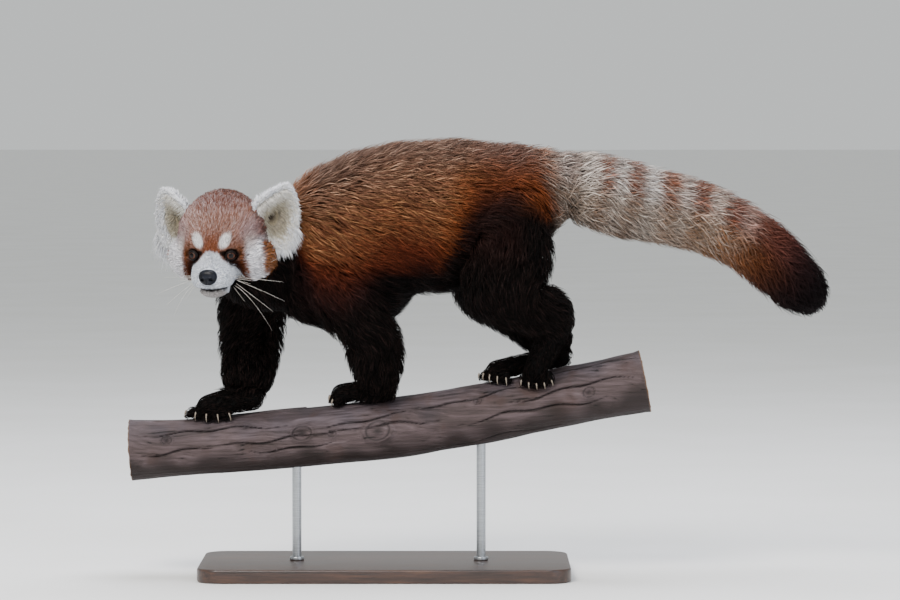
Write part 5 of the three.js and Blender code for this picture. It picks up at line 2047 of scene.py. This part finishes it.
@dataclass
class Perch:
    """The cut length of branch: a gnarled surface without bark, cracks along it, knots and sawn ends."""

    around: int = 160
    along: int = 470
    ends: int = 9
    knots: tuple[tuple[float, float, float, float], ...] = (
        # x, angle from the near side over the top, size, height
        (-107, 12, 11, -3.0),
        (-9, 2, 14, 3.0),
        (-68, 6, 5, -1.5),
        (264, 4, 7, -2.0),
        (-282, 20, 6, -1.5),
        (120, 30, 5, -1.5),
        (60, 150, 9, -2.5),
        (-200, 170, 8, 2.0),
    )
    cracks: tuple[Place, ...] = (
        # where it starts and ends along x, and its angle
        (-325, -120, 34), (-90, 40, 26), (-60, 80, 8), (30, 210, 40), (150, 330, 18), (-240, -30, 4),
        (-180, -60, -16), (90, 300, -10), (-320, -220, -4), (-40, 150, 118), (-300, -80, 140),
        (120, 320, 150), (-200, 60, 170), (60, 240, -60), (-280, -100, -80), (200, 335, 62),
    )

    @staticmethod
    def round_to(over_top: Array, degrees: float | Array) -> Array:
        """Returns how far places lie round the branch from an angle, in millimetres."""
        turn = (over_top - degrees + 180) % 360 - 180
        return np.radians(turn) * BRANCH_RADIUS

    def build(self) -> None:
        """Makes the branch from a sphere drawn out along its line, and works its surface."""
        piece, polar, angle = new_sphere("branch_wood", self.around, self.along)
        row = polar / math.pi * self.along
        cap = np.minimum(row, self.along - row) < self.ends
        radius = np.clip(np.minimum(row, self.along - row) / self.ends, 0, 1)
        t = np.clip((row - self.ends) / (self.along - 2 * self.ends), 0, 1)
        plain = BRANCH.surface(t, angle)
        x = plain[:, 0]
        centre = BRANCH.frame(t)[0]
        out = unit(plain - centre)
        over_top = np.degrees(np.arctan2(out[:, 2], -out[:, 1]))
        stretched = plain * (0.22, 1, 1)
        height = 1.3 * ripple(stretched, 30, 2) + 0.7 * ripple(stretched, 13, 4) - 1.2
        height += 0.35 * ripple(plain * (0.12, 1, 1), 5, 6)
        hollow = np.zeros(len(plain))
        for start, stop, degrees in self.cracks:
            along = (x - start) / (stop - start)
            wander = degrees + 5 * np.sin(x / 31.0 + degrees) + 3 * np.sin(x / 11.0)
            taper = np.clip(np.sin(np.clip(along, 0, 1) * math.pi), 0, 1) ** 0.6
            cut = mound(self.round_to(over_top, wander), 1.3 * taper + 0.05) * (taper > 0)
            height -= 2.8 * cut * taper
            # The cracks enter the hollow mask, which the wood's material paints near black as painted
            # shade.
            hollow = np.maximum(hollow, cut * taper)
        for place, degrees, reach, rise in self.knots:
            gap = np.hypot((x - place) / 1.25, self.round_to(over_top, degrees))
            height += abs(rise) * 0.8 * mound(gap - reach, 0.28 * reach) + rise * mound(gap, 0.6 * reach)
            rings = 0.2 * (0.5 + 0.5 * np.sin(gap * 2.1)) * (gap < reach * 1.3)
            heart = np.maximum(0.9 * mound(gap, 0.42 * reach), 0.8 * mound(gap - reach * 0.85, 0.1 * reach))
            hollow = np.maximum(hollow, np.maximum(rings, heart))
        height *= ease(np.minimum(t, 1 - t), 0.0, 0.01) * 0.85 + 0.15
        for foot in FEET:
            under_foot = np.linalg.norm(plain - foot.beside(10, 0, 0), axis=1) < 45
            height[under_foot] = np.minimum(height[under_foot], -0.3)
        height = np.minimum(height, 2.2)
        share = np.where(cap, radius, 1.0)[:, None]
        points = centre + (plain - centre + out * height[:, None]) * share
        rough = 0.5 * ripple(points * (1, 1, 0.6), 4, 9) * cap
        points[:, 0] += rough * np.where(t > 0.5, -1, 1)
        move_points(piece, points)
        shell(piece, 40)
        facing = out[:, 2] * 0.8 + 0.2 * ripple(plain, 24, 12)
        paint(piece, "hollow", np.clip(hollow, 0, 1))
        paint(piece, "top", ease(facing, 0.05, 0.8))
        # The downward faces, which the wood's material darkens as painted shade.
        paint(piece, "under", 0.8 * ease(facing, 0.0, -0.6) * ~cap)
        paint(piece, "sawn", np.where(cap, 1.0, 0.0))
        paint(piece, "ring", radius)
        dress(piece, BranchFinish().make(), ("branch",))


@dataclass
class Stand:
    """A plain display stand: a flat base with rounded corners, and two rods."""

    length: float = 480.0
    depth: float = 230.0
    height: float = 18.0
    corner: float = 30.0
    edge: float = 2.5
    rod_radius: float = 6.0
    rods: tuple[float, float] = (-115.0, 125.0)

    def base(self) -> None:
        """Makes the base from a box, with its corners and its edges rounded."""
        deselect()
        bpy.ops.mesh.primitive_cube_add(size=2.0)
        piece = named("base_board")
        half = np.array((self.length, self.depth, self.height)) / 2
        move_points(piece, points_of(piece) * MM * half + UP * half)
        bpy.ops.object.mode_set(mode="EDIT")
        bpy.ops.mesh.select_mode(type="EDGE")
        bpy.ops.mesh.select_all(action="DESELECT")
        bpy.ops.object.mode_set(mode="OBJECT")
        for edge in piece.data.edges:
            a, b = (piece.data.vertices[i].co for i in edge.vertices)
            edge.select = abs(a.z - b.z) > 0.001
        bpy.ops.object.mode_set(mode="EDIT")
        bpy.ops.mesh.bevel(offset=self.corner * MM, segments=14, affect="EDGES")
        bpy.ops.object.mode_set(mode="OBJECT")
        self.ease_edges(piece, self.edge, 4)
        smooth(piece, 35)
        dress(piece, StandWoodFinish().make(), ("stand_base",))

    @staticmethod
    def ease_edges(piece: Piece, width: float, segments: int) -> None:
        """Rounds a piece's sharp edges."""
        angle = math.radians(60)
        modified(
            piece, "BEVEL", width=width * MM, segments=segments, limit_method="ANGLE", angle_limit=angle
        )

    @staticmethod
    def cylinder(radius: float, tall: float, middle: Place) -> Piece:
        """Returns a new upright cylinder."""
        deselect()
        bpy.ops.mesh.primitive_cylinder_add(vertices=48, radius=radius * MM, depth=tall * MM)
        piece = bpy.context.object
        move_points(piece, points_of(piece) + middle)
        return piece

    def rod(self, i: int, x: float, material: Paint) -> None:
        """Makes a rod with a collar where it stands in the base."""
        low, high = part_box(f"stand_rod_{i}")
        bottom, top = low.z / MM, high.z / MM
        rod = self.cylinder(self.rod_radius, top - bottom, (x, 0, (top + bottom) / 2))
        collar = self.cylinder(self.rod_radius + 3.5, 5, (x, 0, bottom + 2.3))
        self.ease_edges(collar, 1.2, 3)
        whole = joined([rod, collar], f"steel_rod_{i}")
        smooth(whole, 35)
        dress(whole, material, (f"stand_rod_{i}",))

    def build(self) -> None:
        """Makes the stand."""
        self.base()
        steel = STAND_STEEL.make()
        for i, x in enumerate(self.rods, 1):
            self.rod(i, x, steel)


# Studio


@dataclass
class Studio:
    """A pale floor, soft lights and the camera."""

    target: Place = (0.0845, 0.0, 0.3575)
    distance: float = 5.0
    elevation: float = 2.5
    lens: float = 153.85

    def floor(self) -> None:
        """Makes the floor, which runs far behind."""
        deselect()
        bpy.ops.mesh.primitive_plane_add(size=240.0)
        floor = bpy.context.object
        floor.name = "studio_floor"
        floor.data.materials.append(STUDIO_FLOOR.make())

    @staticmethod
    def light(
        name: str, place: Place, size: float, power: float, colour: str
    ) -> None:
        """Makes a square soft light that faces the animal."""
        data = bpy.data.lights.new(name, "AREA")
        data.energy = power
        data.size = size
        data.color = tint(colour).tolist()
        lamp = bpy.data.objects.new(name, data)
        bpy.context.collection.objects.link(lamp)
        lamp.location = place
        aim = Vector((0.05, 0.0, 0.38)) - Vector(place)
        lamp.rotation_euler = aim.to_track_quat("-Z", "Y").to_euler()

    def camera(self) -> None:
        """Makes the camera at the photograph's angle."""
        data = bpy.data.cameras.new("camera")
        data.lens = self.lens
        data.sensor_width = 36.0
        data.clip_end = 400.0
        camera = bpy.data.objects.new("camera", data)
        bpy.context.collection.objects.link(camera)
        rise = math.radians(self.elevation)
        back = Vector((0.0, -math.cos(rise), math.sin(rise)))
        camera.location = Vector(self.target) + back * self.distance
        camera.rotation_euler = (-back).to_track_quat("-Z", "Y").to_euler()
        bpy.context.scene.camera = camera

    def build(self) -> None:
        """Makes the studio."""
        self.floor()
        self.light("key_light", (-1.2, -2.4, 3.0), 1.6, 178.0, "fffaf5")
        self.light("fill_light", (2.6, -2.6, 1.4), 2.4, 46.0, "eef3ff")
        self.light("eye_light", (-0.3, -4.4, 1.5), 0.7, 20.0, "ffffff")
        self.light("top_light", (0.3, 0.6, 3.4), 2.0, 135.0, "f2f5ff")
        world = bpy.data.worlds.new("studio_world")
        world.use_nodes = True
        sky = world.node_tree.nodes["Background"].inputs
        sky["Color"].default_value = rgba("e3e6e6")
        sky["Strength"].default_value = 0.9
        bpy.context.scene.world = world
        self.camera()


FLESH = (
    "head", "jaw", "neck", "chest", "loin", "tail_1", "tail_2", "tail_3", "tail_4",
    "foreleg_left_upper", "foreleg_left_lower", "foreleg_right_upper", "foreleg_right_lower",
    "hindleg_left_upper", "hindleg_left_lower", "hindleg_right_upper", "hindleg_right_lower",
    "forefoot_left", "forefoot_right", "hindfoot_left", "hindfoot_right",
)


def main() -> None:
    """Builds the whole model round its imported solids."""
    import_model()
    Studio().build()
    skin = Skin().build()
    coat = Coat(skin)
    coat.paint_skin()
    dress(skin, HideFinish().make(), FLESH)
    coat.build()
    Face().build()
    Ears().build()
    Claws().build()
    Perch().build()
    Stand().build()
    bpy.context.view_layer.update()


if __name__ == "__main__":
    main()
